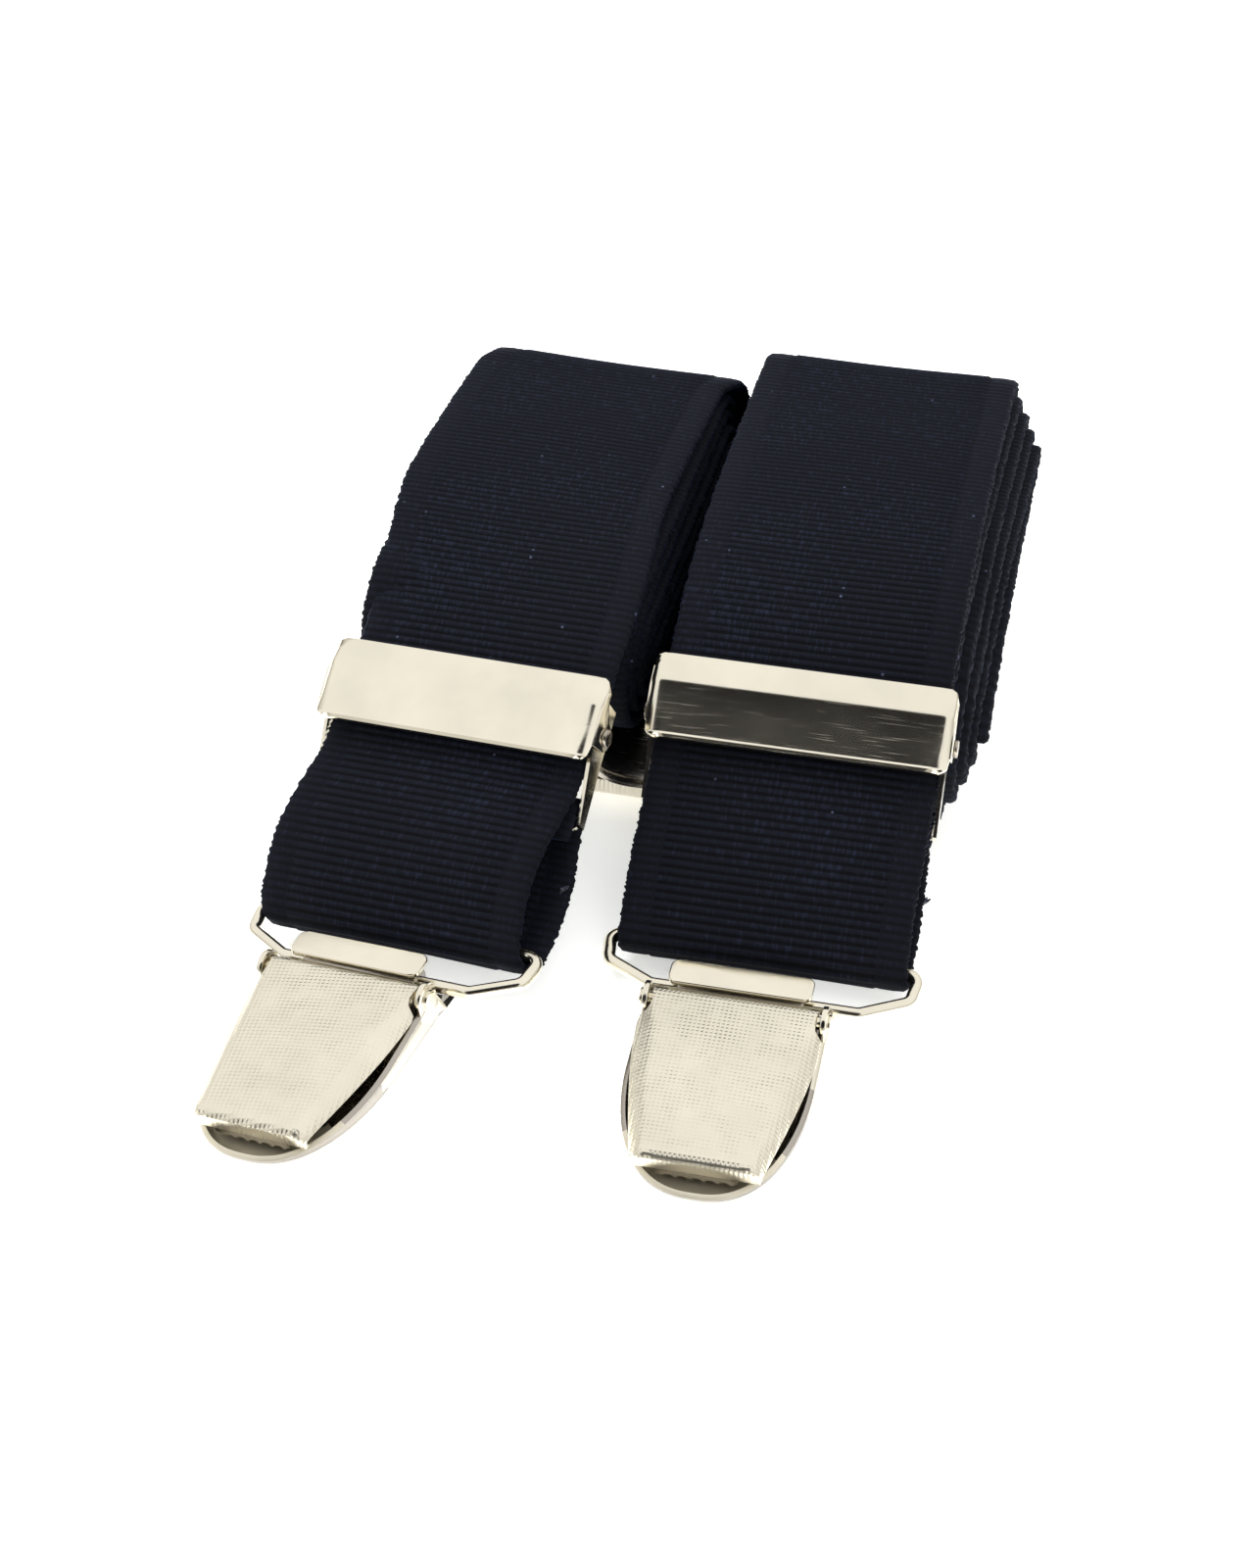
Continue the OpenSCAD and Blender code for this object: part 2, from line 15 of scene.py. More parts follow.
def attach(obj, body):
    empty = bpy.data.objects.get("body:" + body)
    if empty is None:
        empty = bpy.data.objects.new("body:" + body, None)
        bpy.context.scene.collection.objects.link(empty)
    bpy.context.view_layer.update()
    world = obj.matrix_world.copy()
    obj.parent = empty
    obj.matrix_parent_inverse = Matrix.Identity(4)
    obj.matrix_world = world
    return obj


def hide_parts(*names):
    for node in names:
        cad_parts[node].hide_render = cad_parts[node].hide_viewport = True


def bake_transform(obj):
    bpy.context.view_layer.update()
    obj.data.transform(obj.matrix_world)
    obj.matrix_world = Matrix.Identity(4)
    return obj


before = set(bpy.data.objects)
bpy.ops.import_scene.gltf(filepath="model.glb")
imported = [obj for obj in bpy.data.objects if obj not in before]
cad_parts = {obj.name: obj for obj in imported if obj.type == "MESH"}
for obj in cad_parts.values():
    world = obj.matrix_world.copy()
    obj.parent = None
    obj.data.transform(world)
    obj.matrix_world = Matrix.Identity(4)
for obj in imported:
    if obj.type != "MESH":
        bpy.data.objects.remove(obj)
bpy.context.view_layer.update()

bl_info = {
    "name": "Suspenders",
    "version": (1, 0, 0),
    "blender": (4, 5, 0),
    "location": "View3D > Sidebar > Suspenders",
    "description": "Builds the visible pieces of a pair of clip-on suspenders round their CAD frame",
    "category": "Add Mesh",
}

MM = 0.001

# Sizes shared with the part's own source
WEB_W = 35.0
WEB_T = 1.4
PITCH = 2.06
HALF_TURNS = 5
NEAR_Y = 47.0
FAR_Y = 96.0
CORE_NEAR_Z = 19.8
CORE_FAR_Z = 16.7
WIRE_R = 0.8
LOOP_R = WIRE_R + 0.15 + WEB_T / 2
BAIL_Y = LOOP_R + WEB_T / 2
BAIL_Z = 4.2
LIFT_LEFT = 1.4
KNUCKLE = (-4.6, 3.3)
PIN = (-8.8, 5.0)
EAR_R = 2.1
CLIP_HALF = 10.9
SHEET = 0.7
REAR_X = -21.0
REAR_Y = 63.0
REAR_LOOP_Z = 0.05 + LOOP_R + WEB_T / 2
REAR_CLIP_Z = PIN[1] + EAR_R + 0.05
REAR_CLIP_SHIFT = 0.0936
PATCH_Z = 5.7
PATCH_NEAR = 72.5
PATCH_FAR = 102.0
PATCH_MID = -19.3
ADJUSTER_AT = 29.2
SHIFT = (20.244, -32.175, 0.0)
LEFT_AT = (-42.8, -7.0)
LEFT_YAW = -2.7
BEND_REACH = 9.0


# ------------------------------------------------------------------ settings


def linear(hex_colour):
    """sRGB hex to the linear values that the shader takes."""
    values = [int(hex_colour[i : i + 2], 16) / 255 for i in (1, 3, 5)]
    return [v / 12.92 if v <= 0.04045 else ((v + 0.055) / 1.055) ** 2.4 for v in values] + [1.0]


def colour_property(name, description, hex_colour):
    return bpy.props.FloatVectorProperty(
        name=name, description=description, default=linear(hex_colour), subtype="COLOR", size=4, min=0, max=1
    )


def length_property(name, description, millimetres):
    return bpy.props.FloatProperty(
        name=name, description=description, default=millimetres * MM, precision=5, unit="LENGTH"
    )


class WebbingSettings(bpy.types.PropertyGroup):
    rib_pitch: length_property("Rib pitch", "Distance from one woven rib to the next", 1.05)
    rib_height: length_property("Rib height", "How far a rib stands out of the webbing", 0.2)
    bulge: length_property("Bulge", "How far the loose front loop stands open", 1.6)
    colour: colour_property("Yarn", "Colour of the elastic's navy yarn", "#0b0d15")
    selvedge: colour_property("Selvedge", "Colour of the denser edge bands", "#0a0b12")


class MetalSettings(bpy.types.PropertyGroup):
    nickel: colour_property("Nickel", "Colour of the bright nickel plate", "#f5eedb")
    # The inner nickel's higher roughness is a duller finish; its darker colour is painted shade where it lies
    # inside the clips under their covers
    dark_nickel: colour_property("Inner nickel", "Colour of the duller plate inside the clips", "#b9b2a8")
    wear: bpy.props.FloatProperty(
        name="Wear", description="Strength of the fine scratches", default=0.5, subtype="FACTOR", min=0, max=1
    )


class LeatherSettings(bpy.types.PropertyGroup):
    colour: colour_property("Leather", "Colour of the back patch's leather", "#1b1818")
    stitch: length_property("Stitch length", "Length of one stitch", 2.6)


class StageSettings(bpy.types.PropertyGroup):
    floor: colour_property("Table", "Colour of the table's surface", "#f6f6f4")
    focal: bpy.props.FloatProperty(
        name="Lens", description="Focal length over the frame's longer side, in millimetres", default=69.0
    )


GROUPS = {
    "webbing": WebbingSettings,
    "metal": MetalSettings,
    "leather": LeatherSettings,
    "stage": StageSettings,
}


def settings(group):
    return getattr(bpy.context.scene, "suspenders_" + group)


# ------------------------------------------------------------------ places


def unit(v):
    return v / np.linalg.norm(v)


def shift(x, y, z):
    return Matrix.Translation((x, y, z))


def turn(degrees, axis):
    return Matrix.Rotation(math.radians(degrees), 4, axis)


def front_point(slope, bar_z, d, n):
    """A point d up the front end's slope and n above its bail bar, as (y, z)."""
    c, s = math.cos(math.radians(slope)), math.sin(math.radians(slope))
    return BAIL_Y + d * c - n * s, bar_z + d * s + n * c


TOP_NEAR_Z = CORE_NEAR_Z + HALF_TURNS * PITCH
TOP_FALL = (CORE_NEAR_Z - CORE_FAR_Z) / (FAR_Y - NEAR_Y)


def bend_corner(slope, bar_z):
    y, z = front_point(slope, bar_z, 0, LOOP_R)
    t = math.tan(math.radians(slope))
    corner = (TOP_NEAR_Z + TOP_FALL * NEAR_Y - z + t * y) / (t + TOP_FALL)
    return corner, z + t * (corner - y)


ON_TABLE = Matrix.Scale(MM, 4) @ shift(*SHIFT)
ROLL_PLACES = {
    "left": ON_TABLE @ shift(*LEFT_AT, 0) @ turn(LEFT_YAW, "Z"),
    "right": ON_TABLE,
}
SLOPES = {"left": 30.0, "right": 34.0}
BAR_Z = {"left": BAIL_Z + LIFT_LEFT, "right": BAIL_Z}
STEPS = {"left": 0.4, "right": 1.1}
LEAN = {"left": -0.9, "right": 0.0}
END_YAW = {"left": -8.5, "right": 0.0}
END_ROLL = {"left": -7.0, "right": 0.0}
END_SHIFT = {"left": 3.8, "right": 0.0}


def end_twist(side, share=1.0):
    """The turn and roll of a front end about the start of its bend."""
    y, z = bend_corner(SLOPES[side], BAR_Z[side])
    pivot = Vector((0, y + BEND_REACH, z - TOP_FALL * BEND_REACH))
    aside = shift(END_SHIFT[side] * share, 0, 0)
    yaw, roll = turn(END_YAW[side] * share, "Z"), turn(END_ROLL[side] * share, "Y")
    return aside @ shift(*pivot) @ yaw @ roll @ shift(*-pivot)


def adjuster_place(side):
    y, z = front_point(SLOPES[side], BAR_Z[side], ADJUSTER_AT, LOOP_R)
    return ROLL_PLACES[side] @ end_twist(side) @ shift(0, y, z) @ turn(SLOPES[side], "X")


CLIP_SHIFT = -1.5
CLIP_PLACES = {
    "left": ROLL_PLACES["left"] @ end_twist("left") @ shift(CLIP_SHIFT, 0, LIFT_LEFT),
    "right": ON_TABLE @ shift(CLIP_SHIFT, 0, 0),
    "rear": ON_TABLE @ shift(REAR_X, REAR_Y + REAR_CLIP_SHIFT, REAR_CLIP_Z) @ turn(180, "Y"),
}
BAIL_PLACES = {
    "left": (ROLL_PLACES["left"] @ end_twist("left"), BAR_Z["left"], KNUCKLE[1] + LIFT_LEFT),
    "right": (ON_TABLE, BAIL_Z, KNUCKLE[1]),
    "rear": (ON_TABLE @ shift(REAR_X, REAR_Y, 0), REAR_LOOP_Z, REAR_CLIP_Z - KNUCKLE[1]),
}


def moved(points, place):
    """Points of any grid shape, taken through a place."""
    m = np.array(place)
    return points @ m[:3, :3].T + m[:3, 3]


# ------------------------------------------------------------------ modelling helpers

SAME_POINT = 1e-7
EDGE_ANGLE = math.radians(50)


def deselect():
    if bpy.context.mode != "OBJECT":
        bpy.ops.object.mode_set(mode="OBJECT")
    bpy.ops.object.select_all(action="DESELECT")


def activate(obj):
    deselect()
    bpy.context.view_layer.objects.active = obj
    obj.select_set(True)


def made(name):
    """The object that the last primitive operator made, under its own name."""
    obj = bpy.context.object
    obj.name = obj.data.name = name
    return obj


def in_edit_mode(obj, *steps):
    """Run mesh operators on the whole piece, each given as (operator, settings)."""
    activate(obj)
    bpy.ops.object.mode_set(mode="EDIT")
    bpy.ops.mesh.select_all(action="SELECT")
    for operator, options in steps:
        operator(**options)
    bpy.ops.object.mode_set(mode="OBJECT")


def applied(obj, kind, **values):
    """Add one modifier with its settings and apply it."""
    activate(obj)
    modifier = obj.modifiers.new(kind.title(), kind)
    for key, value in values.items():
        setattr(modifier, key, value)
    bpy.ops.object.modifier_apply(modifier=modifier.name)


def smooth(obj, degrees=40):
    activate(obj)
    bpy.ops.object.shade_smooth_by_angle(angle=math.radians(degrees))


def set_points(obj, points):
    obj.data.vertices.foreach_set("co", np.asarray(points, np.float64).reshape(-1))
    obj.data.update()


def points_of(obj):
    flat = np.empty(len(obj.data.vertices) * 3)
    obj.data.vertices.foreach_get("co", flat)
    return flat.reshape(-1, 3)


def grid_piece(name, points, closed=False):
    """A sheet whose rows and columns of points are given; a closed one has its seams merged."""
    rows, columns = points.shape[0] - 1, points.shape[1] - 1
    deselect()
    bpy.ops.mesh.primitive_grid_add(x_subdivisions=columns, y_subdivisions=rows, size=1)
    obj = made(name)
    flat = points_of(obj)
    i = np.rint((flat[:, 1] + 0.5) * rows).astype(int)
    j = np.rint((flat[:, 0] + 0.5) * columns).astype(int)
    set_points(obj, points[i, j])
    steps = []
    if closed:
        steps.append((bpy.ops.mesh.remove_doubles, {"threshold": SAME_POINT}))
    steps.append((bpy.ops.mesh.normals_make_consistent, {"inside": False}))
    in_edit_mode(obj, *steps)
    return obj


def plate(name, outline, low, high, bevel=0.0, place=Matrix.Identity(4), segments=2):
    """A flat plate with the outline's corners (x, y), extruded from low to high, its edges bevelled."""
    deselect()
    bpy.ops.mesh.primitive_circle_add(vertices=len(outline), radius=1, fill_type="NGON")
    obj = made(name)
    set_points(obj, [(x, y, low) for x, y in outline])
    in_edit_mode(
        obj,
        (bpy.ops.mesh.extrude_region_move, {"TRANSFORM_OT_translate": {"value": (0, 0, high - low)}}),
        (bpy.ops.mesh.select_all, {"action": "SELECT"}),
        (bpy.ops.mesh.normals_make_consistent, {"inside": False}),
    )
    if bevel:
        applied(obj, "BEVEL", width=bevel, segments=segments, limit_method="ANGLE", angle_limit=EDGE_ANGLE)
    set_points(obj, moved(points_of(obj), place))
    return obj


def cylinder(name, place, radius, half, bevel=0.12, sides=32):
    """A turned pin or barrel along X, centred on the place, with bevelled ends."""
    deselect()
    bpy.ops.mesh.primitive_cylinder_add(vertices=sides, radius=radius, depth=2 * half)
    obj = made(name)
    applied(obj, "BEVEL", width=bevel, segments=2, limit_method="ANGLE", angle_limit=EDGE_ANGLE)
    set_points(obj, moved(points_of(obj), place @ turn(90, "Y")))
    return obj


def joined(name, parts):
    """One piece from several, each keeping its own material."""
    activate(parts[0])
    for part in parts[1:]:
        part.select_set(True)
    if len(parts) > 1:
        bpy.ops.object.join()
    return made(name)


def rounded(width, height, corner, steps=5, centre=(0.0, 0.0)):
    """Outline of a rectangle with rounded corners."""
    points = []
    for k, (sx, sy) in enumerate(((1, 1), (-1, 1), (-1, -1), (1, -1))):
        for s in range(steps + 1):
            a = math.radians(90 * (k + s / steps))
            points.append(
                (
                    centre[0] + sx * (width / 2 - corner) + corner * math.cos(a),
                    centre[1] + sy * (height / 2 - corner) + corner * math.sin(a),
                )
            )
    return points


def outer_normals_kept(obj):
    in_edit_mode(obj, (bpy.ops.mesh.normals_make_consistent, {"inside": False}))


# ------------------------------------------------------------------ materials


def node(tree, kind, values=None, **links):
    """Add one node, set its attributes and sockets, and link its inputs."""
    made_node = tree.nodes.new("ShaderNode" + kind)
    for key, value in (values or {}).items():
        if isinstance(key, str) and hasattr(made_node, key):
            setattr(made_node, key, value)
        else:
            made_node.inputs[key].default_value = value
    for key, source in links.items():
        target = made_node.inputs[int(key[1:])] if key[0] == "i" and key[1:].isdigit() else made_node.inputs[
            key.replace("_", " ")
        ]
        tree.links.new(source, target)
    return made_node


def material(name, **values):
    """A new material with its shader's constant sockets set, as (material, tree, shader)."""
    made_material = bpy.data.materials.new(name)
    made_material.use_nodes = True
    tree = made_material.node_tree
    shader = tree.nodes["Principled BSDF"]
    for key, value in values.items():
        shader.inputs[key.replace("_", " ")].default_value = value
    return made_material, tree, shader


def ramp(tree, source, *stops):
    made_node = node(tree, "ValToRGB", Fac=source)
    elements = made_node.color_ramp.elements
    while len(elements) < len(stops):
        elements.new(0.5)
    for element, (position, colour) in zip(elements, stops):
        element.position = position
        element.color = colour if len(colour) == 4 else (*colour, 1)
    return made_node.outputs["Color"]


def grey(value):
    return (value, value, value, 1)


def maths(tree, operation, first, second):
    values = {"operation": operation}
    links = {}
    for index, term in enumerate((first, second)):
        if isinstance(term, (int, float)):
            values[index] = term
        else:
            links["i%d" % index] = term
    return node(tree, "Math", values, **links).outputs[0]


def webbing_material():
    """Woven polyester elastic: matt navy yarn with a blue sheen at grazing light, denser darker selvedges."""
    web = settings("webbing")
    made_material, tree, shader = material(
        "navy_elastic_webbing", Roughness=0.82, Sheen_Weight=0.06, Sheen_Roughness=0.4, IOR=1.5
    )
    shader.inputs["Sheen Tint"].default_value = linear("#5f79b8")
    shader.inputs["Specular IOR Level"].default_value = 0.16
    uv = node(tree, "UVMap", {"uv_map": "UVMap"}).outputs[0]
    parts = node(tree, "SeparateXYZ", None, Vector=uv)
    across, along = parts.outputs[0], parts.outputs[1]
    # Yarn floats: short darker and lighter dashes 0.35 mm wide and 2 mm long, as coarse as they need to show
    dash_at = node(tree, "Mapping", {"Scale": (2800, 500, 1)}, Vector=uv).outputs[0]
    dashes = node(tree, "TexNoise", {"Scale": 1.0, "Detail": 2.0}, Vector=dash_at).outputs[0]
    # Slow colour drift along the strap, about 30 mm
    drift = node(tree, "TexNoise", {"Scale": 35.0, "Detail": 2.0}, Vector=uv).outputs[0]
    base = ramp(
        tree,
        maths(tree, "ADD", maths(tree, "MULTIPLY", dashes, 0.75), maths(tree, "MULTIPLY", drift, 0.25)),
        (0.3, linear("#0b0d15")),
        (0.52, tuple(web.colour)),
        (0.75, linear("#1a1f2e")),
    )
    # Ribs: painted shade darkens the valleys between them, 1.05 mm apart as in the mesh
    phase = maths(tree, "MULTIPLY", along, 2 * math.pi / web.rib_pitch)
    wave = maths(tree, "MULTIPLY", maths(tree, "ADD", maths(tree, "COSINE", phase, 0.0), 1.0), 0.5)
    painted_valley_shade = ramp(tree, wave, (0.0, grey(0.12)), (0.3, grey(0.35)), (0.6, grey(1.0)))
    darkened = {"blend_type": "MULTIPLY", "Fac": 0.9}
    rib_shaded = node(tree, "MixRGB", darkened, Color1=base, Color2=painted_valley_shade).outputs[0]
    # Selvedge: the last 3.5 mm at each edge, with a dark line where it starts
    edge = maths(tree, "ABSOLUTE", maths(tree, "SUBTRACT", across, WEB_W / 2 * MM), 0.0)
    in_edge = ramp(
        tree,
        maths(tree, "MULTIPLY", edge, 1000 / (WEB_W / 2)),
        (0.775, grey(0)),
        (0.79, grey(1)),
        (0.81, grey(0.35)),
        (1.0, grey(0.45)),
    )
    banded = node(
        tree, "MixRGB", {"Color2": tuple(web.selvedge)}, Fac=in_edge, Color1=rib_shaded
    ).outputs[0]
    # Lint: bright specks under 0.3 mm, a few to each square centimetre
    cells = node(tree, "TexVoronoi", {"Scale": 420.0, "Randomness": 1.0}, Vector=uv)
    thin = node(tree, "TexNoise", {"Scale": 190.0, "Detail": 0.0}, Vector=uv).outputs[0]
    speck = maths(
        tree,
        "MULTIPLY",
        ramp(tree, cells.outputs["Distance"], (0.05, grey(1)), (0.09, grey(0))),
        ramp(tree, thin, (0.62, grey(0)), (0.68, grey(0.45))),
    )
    final = node(tree, "MixRGB", {"Color2": linear("#596079")}, Fac=speck, Color1=banded).outputs[0]
    tree.links.new(final, shader.inputs["Base Color"])
    # Fine bump of the yarn on top of the modelled ribs
    bump = node(tree, "Bump", {"Strength": 0.35, "Distance": 0.00012}, Height=dashes).outputs[0]
    tree.links.new(bump, shader.inputs["Normal"])
    return made_material


LINEN_PITCH = 0.55


def nickel_material(name, colour, low, high, scratch, linen=0.0):
    """Nickel plate on pressed steel: a warm mirror with fine hairlines and faint smudges.

    low and high are the gloss's limits, scratch the hairlines' depth and linen the stamped weave's.
    """
    made_material, tree, shader = material(name, Metallic=1.0)
    where = node(tree, "TexCoord").outputs["Object"]
    # Smudges about 8 mm across change the gloss a little
    smudge = node(tree, "TexNoise", {"Scale": 130.0, "Detail": 4.0}, Vector=where).outputs[0]
    # Hairlines: noise stretched to about 0.15 mm by 6 mm
    stretched = {"Scale": (170, 5200, 5200), "Rotation": (0, 0, 0.35)}
    line_at = node(tree, "Mapping", stretched, Vector=where).outputs[0]
    hairs = node(tree, "TexNoise", {"Scale": 1.0, "Detail": 3.0}, Vector=line_at).outputs[0]
    hair = ramp(tree, hairs, (0.6, grey(0)), (0.72, grey(1)))
    gloss = maths(
        tree,
        "ADD",
        node(tree, "MapRange", {3: low, 4: high}, Value=smudge).outputs[0],
        maths(tree, "MULTIPLY", hair, scratch * 0.15),
    )
    tree.links.new(gloss, shader.inputs["Roughness"])
    tint = ramp(tree, smudge, (0.3, tuple(colour)), (0.7, [c * 0.9 for c in colour[:3]]))
    tree.links.new(tint, shader.inputs["Base Color"])
    height = maths(tree, "MULTIPLY", hair, -0.12 * scratch)
    if linen:
        # Stamped weave, the same distance apart both ways, broken up by noise
        weave = []
        for axis in (0, 1):
            coordinate = node(tree, "SeparateXYZ", None, Vector=where).outputs[axis]
            phase = maths(tree, "MULTIPLY", coordinate, 2 * math.pi / (LINEN_PITCH * MM))
            weave.append(maths(tree, "SINE", phase, 0.0))
        crossed = maths(tree, "MAXIMUM", weave[0], weave[1])
        broken = node(tree, "TexNoise", {"Scale": 420.0, "Detail": 3.0}, Vector=where).outputs[0]
        depth = maths(tree, "MULTIPLY", broken, linen)
        height = maths(tree, "ADD", height, maths(tree, "MULTIPLY", crossed, depth))
    bump = node(tree, "Bump", {"Strength": 0.6, "Distance": 0.00006}, Height=height).outputs[0]
    tree.links.new(bump, shader.inputs["Normal"])
    return made_material


def leather_material():
    """Finished cowhide: near-black, semi-matt, with pores under half a millimetre and creases."""
    made_material, tree, shader = material("black_finished_leather", Roughness=0.5, IOR=1.5)
    where = node(tree, "TexCoord").outputs["Object"]
    pores = node(tree, "TexVoronoi", {"Scale": 1900.0}, Vector=where).outputs["Distance"]
    creases = node(tree, "TexNoise", {"Scale": 260.0, "Detail": 5.0}, Vector=where).outputs[0]
    tone = ramp(tree, creases, (0.3, linear("#100e0e")), (0.7, tuple(settings("leather").colour)))
    tree.links.new(tone, shader.inputs["Base Color"])
    height = maths(tree, "ADD", pores, maths(tree, "MULTIPLY", creases, 0.7))
    bump = node(tree, "Bump", {"Strength": 0.5, "Distance": 0.00015}, Height=height).outputs[0]
    tree.links.new(bump, shader.inputs["Normal"])
    return made_material


def thread_material():
    """Spun polyester sewing thread: navy, with a twist that glints a little."""
    made_material, tree, shader = material("navy_sewing_thread", Roughness=0.6, Sheen_Weight=0.2)
    where = node(tree, "TexCoord").outputs["Object"]
    twist = node(tree, "TexWave", {"Scale": 1600.0, "Distortion": 1.0}, Vector=where).outputs[0]
    tone = ramp(tree, twist, (0.2, linear("#0d101a")), (0.8, linear("#2a3046")))
    tree.links.new(tone, shader.inputs["Base Color"])
    return made_material


def floor_material():
    """Matt white laminate table top with a barely visible mottle."""
    made_material, tree, shader = material("white_table_top", Roughness=0.6)
    where = node(tree, "TexCoord").outputs["Object"]
    mottle = node(tree, "TexNoise", {"Scale": 9.0, "Detail": 2.0}, Vector=where).outputs[0]
    tone = ramp(tree, mottle, (0.3, tuple(settings("stage").floor)), (0.7, linear("#f2f3f1")))
    tree.links.new(tone, shader.inputs["Base Color"])
    # Lit from below as well, like a studio light table, which keeps its shadows faint
    tree.links.new(tone, shader.inputs["Emission Color"])
    shader.inputs["Emission Strength"].default_value = 0.55
    return made_material


LIBRARY = {
    "webbing": webbing_material,
    "bright": lambda: nickel_material(
        "bright_nickel_plate", settings("metal").nickel, 0.1, 0.2, settings("metal").wear
    ),
    "linen": lambda: nickel_material(
        "linen_stamped_nickel", settings("metal").nickel, 0.24, 0.36, settings("metal").wear, 1.3
    ),
    # Darker plate: a duller gloss, and a darker colour that is painted shade inside the clips
    "dark": lambda: nickel_material(
        "dull_nickel_and_painted_shade", settings("metal").dark_nickel, 0.16, 0.3, settings("metal").wear
    ),
    "satin": lambda: nickel_material("satin_nickel", settings("metal").nickel, 0.5, 0.62, 0.2),
    "leather": leather_material,
    "thread": thread_material,
    "floor": floor_material,
}
made_materials = {}


def finish_of(key):
    if key not in made_materials:
        made_materials[key] = LIBRARY[key]()
    return made_materials[key]


def wearing(obj, key):
    obj.data.materials.clear()
    obj.data.materials.append(finish_of(key))
    return obj


# ------------------------------------------------------------------ webbing

ARC_STEPS = 40
# Where the webbing's lengthwise mesh lines lie: its edge bead, its groove and the plain middle
HALF_COLUMNS = (4.5, 9.0, 13.4, 13.8, 14.2, 15.8, 17.05, 17.5)
COLUMNS = tuple(-x for x in reversed(HALF_COLUMNS)) + (0.0,) + HALF_COLUMNS
GROOVE_AT = 13.8
GROOVE_DEPTH = 0.16


def arc(centre, radius, start, end, x, twist):
    angles = np.radians(np.linspace(start, end, ARC_STEPS + 1))
    ones = np.ones_like(angles)
    return np.stack(
        [x * ones, centre[0] + radius * np.cos(angles), centre[1] + radius * np.sin(angles), twist * ones],
        axis=1,
    )


STRAY = 0.35
FOLD_SLANT = 2.2


def wound(first_far, step, draws, lean):
    """Half circles of one wound half, from the core outwards, each a little out of line.

    lean takes the far folds aside and the near folds the other way; the outermost far fold slants by it too.
    """
    pieces = []
    for k in range(1, HALF_TURNS + 1):
        far = (k % 2 == 1) == first_far
        radius = (2 * k - 1) * PITCH / 2
        x = step * (HALF_TURNS - k) + (draws.uniform(-STRAY, STRAY) if k < HALF_TURNS else 0)
        x += lean if far else -lean
        if far:
            outermost = lean if k == HALF_TURNS else 0
            slant = outermost * FOLD_SLANT * np.cos(np.linspace(-1, 1, ARC_STEPS + 1) * math.pi / 2) ** 0.5
            pieces.append(arc((FAR_Y, CORE_FAR_Z + PITCH / 2), radius, -90, 90, x - slant, 0))
        else:
            pieces.append(arc((NEAR_Y, CORE_NEAR_Z - PITCH / 2), radius, 90, 270, x, 0))
    return pieces


TOP_REACH = 33.2
FAR_HANDLE, FAR_RISE, NEAR_HANDLE = 34, 0.13, 16


def front_bend(side):
    """The top run: from the far fold in a low dome over the roll and down into the front end's slope."""
    slope, bar_z = SLOPES[side], BAR_Z[side]
    c, s = math.cos(math.radians(slope)), math.sin(math.radians(slope))
    low = np.array(front_point(slope, bar_z, TOP_REACH, LOOP_R))
    high = np.array((FAR_Y, CORE_FAR_Z + HALF_TURNS * PITCH))
    handles = (high + FAR_HANDLE * np.array((-1, FAR_RISE)), low + NEAR_HANDLE * np.array((c, s)))
    t = np.linspace(0, 1, 2 * ARC_STEPS + 1)[1:, None]
    across = LEAN[side] * (1 - t)
    p = (1 - t) ** 3 * high + 3 * t * (1 - t) ** 2 * handles[0] + 3 * t**2 * (1 - t) * handles[1] + t**3 * low
    turned = np.clip((t - 0.35) / 0.6, 0, 1)
    twist = turned * turned * (3 - 2 * turned)
    return np.concatenate([across, p, twist], axis=1)


OPENNESS = {"left": 1.0, "right": 0.3}
SKEW = {"left": 1.5, "right": 0.3}


def loose(side, d):
    """How open the loop is at d up the slope: none at the bail bar and none at the adjuster."""
    t = np.clip(np.asarray(d) / (ADJUSTER_AT - 8.0), 0, 1)
    return np.sin(np.pi * t) ** 1.25 * settings("webbing").bulge / MM * OPENNESS[side]


def skew(side, d):
    """How far aside the loop's layers lie at d up the slope."""
    t = np.clip(np.asarray(d) / (ADJUSTER_AT - 7.0), 0, 1)
    return np.sin(np.pi * np.clip(0.3 + 0.7 * t, 0, 1)) ** 1.4 * SKEW[side]


def front_layer(side):
    """The layer that lies in front, from the adjuster down to the bail bar, slightly bowed out."""
    slope, bar_z = SLOPES[side], BAR_Z[side]
    rows = []
    for d in np.linspace(TOP_REACH - 1, 1.5, 40):
        y, z = front_point(slope, bar_z, d, LOOP_R + float(loose(side, d)))
        rows.append((-float(skew(side, d)), y, z, 1))
    return np.array(rows)


def bar_loop(side):
    slope, bar_z = SLOPES[side], BAR_Z[side]
    loop = arc((BAIL_Y, bar_z), LOOP_R, 90 + slope, 270 + slope, 0, 1)
    t = np.linspace(0, 1, len(loop))
    loop[:, 0] = float(skew(side, 0)) * (2 * t - 1)
    return loop


FRAME_FOOT = 12.0
RETURN_FOLD_R = 1.35


def return_layer(side):
    """The layer behind, from the bail bar up and round the lower bar of the adjuster's frame."""
    slope, bar_z = SLOPES[side], BAR_Z[side]
    foot = ADJUSTER_AT - FRAME_FOOT
    rows = []
    for d in np.linspace(0.0, foot - 1.0, 36):
        sag = 0.55 * float(loose(side, d)) + 1.0 * (d / foot) ** 3
        y, z = front_point(slope, bar_z, d, -LOOP_R - sag)
        rows.append((float(skew(side, d)) * (1 - (d / foot) ** 4), y, z, 1))
    for angle in np.linspace(-90, 90, 16):
        a = math.radians(angle)
        y, z = front_point(
            slope,
            bar_z,
            foot + 1.9 + RETURN_FOLD_R * math.cos(a),
            LOOP_R - 2.92 + RETURN_FOLD_R * math.sin(a),
        )
        rows.append((0, y, z, 1))
    y, z = front_point(slope, bar_z, foot - 2.2, LOOP_R - 1.6)
    rows.append((0, y, z, 1))
    return np.array(rows)


TAIL_Z = CORE_NEAR_Z - HALF_TURNS * PITCH
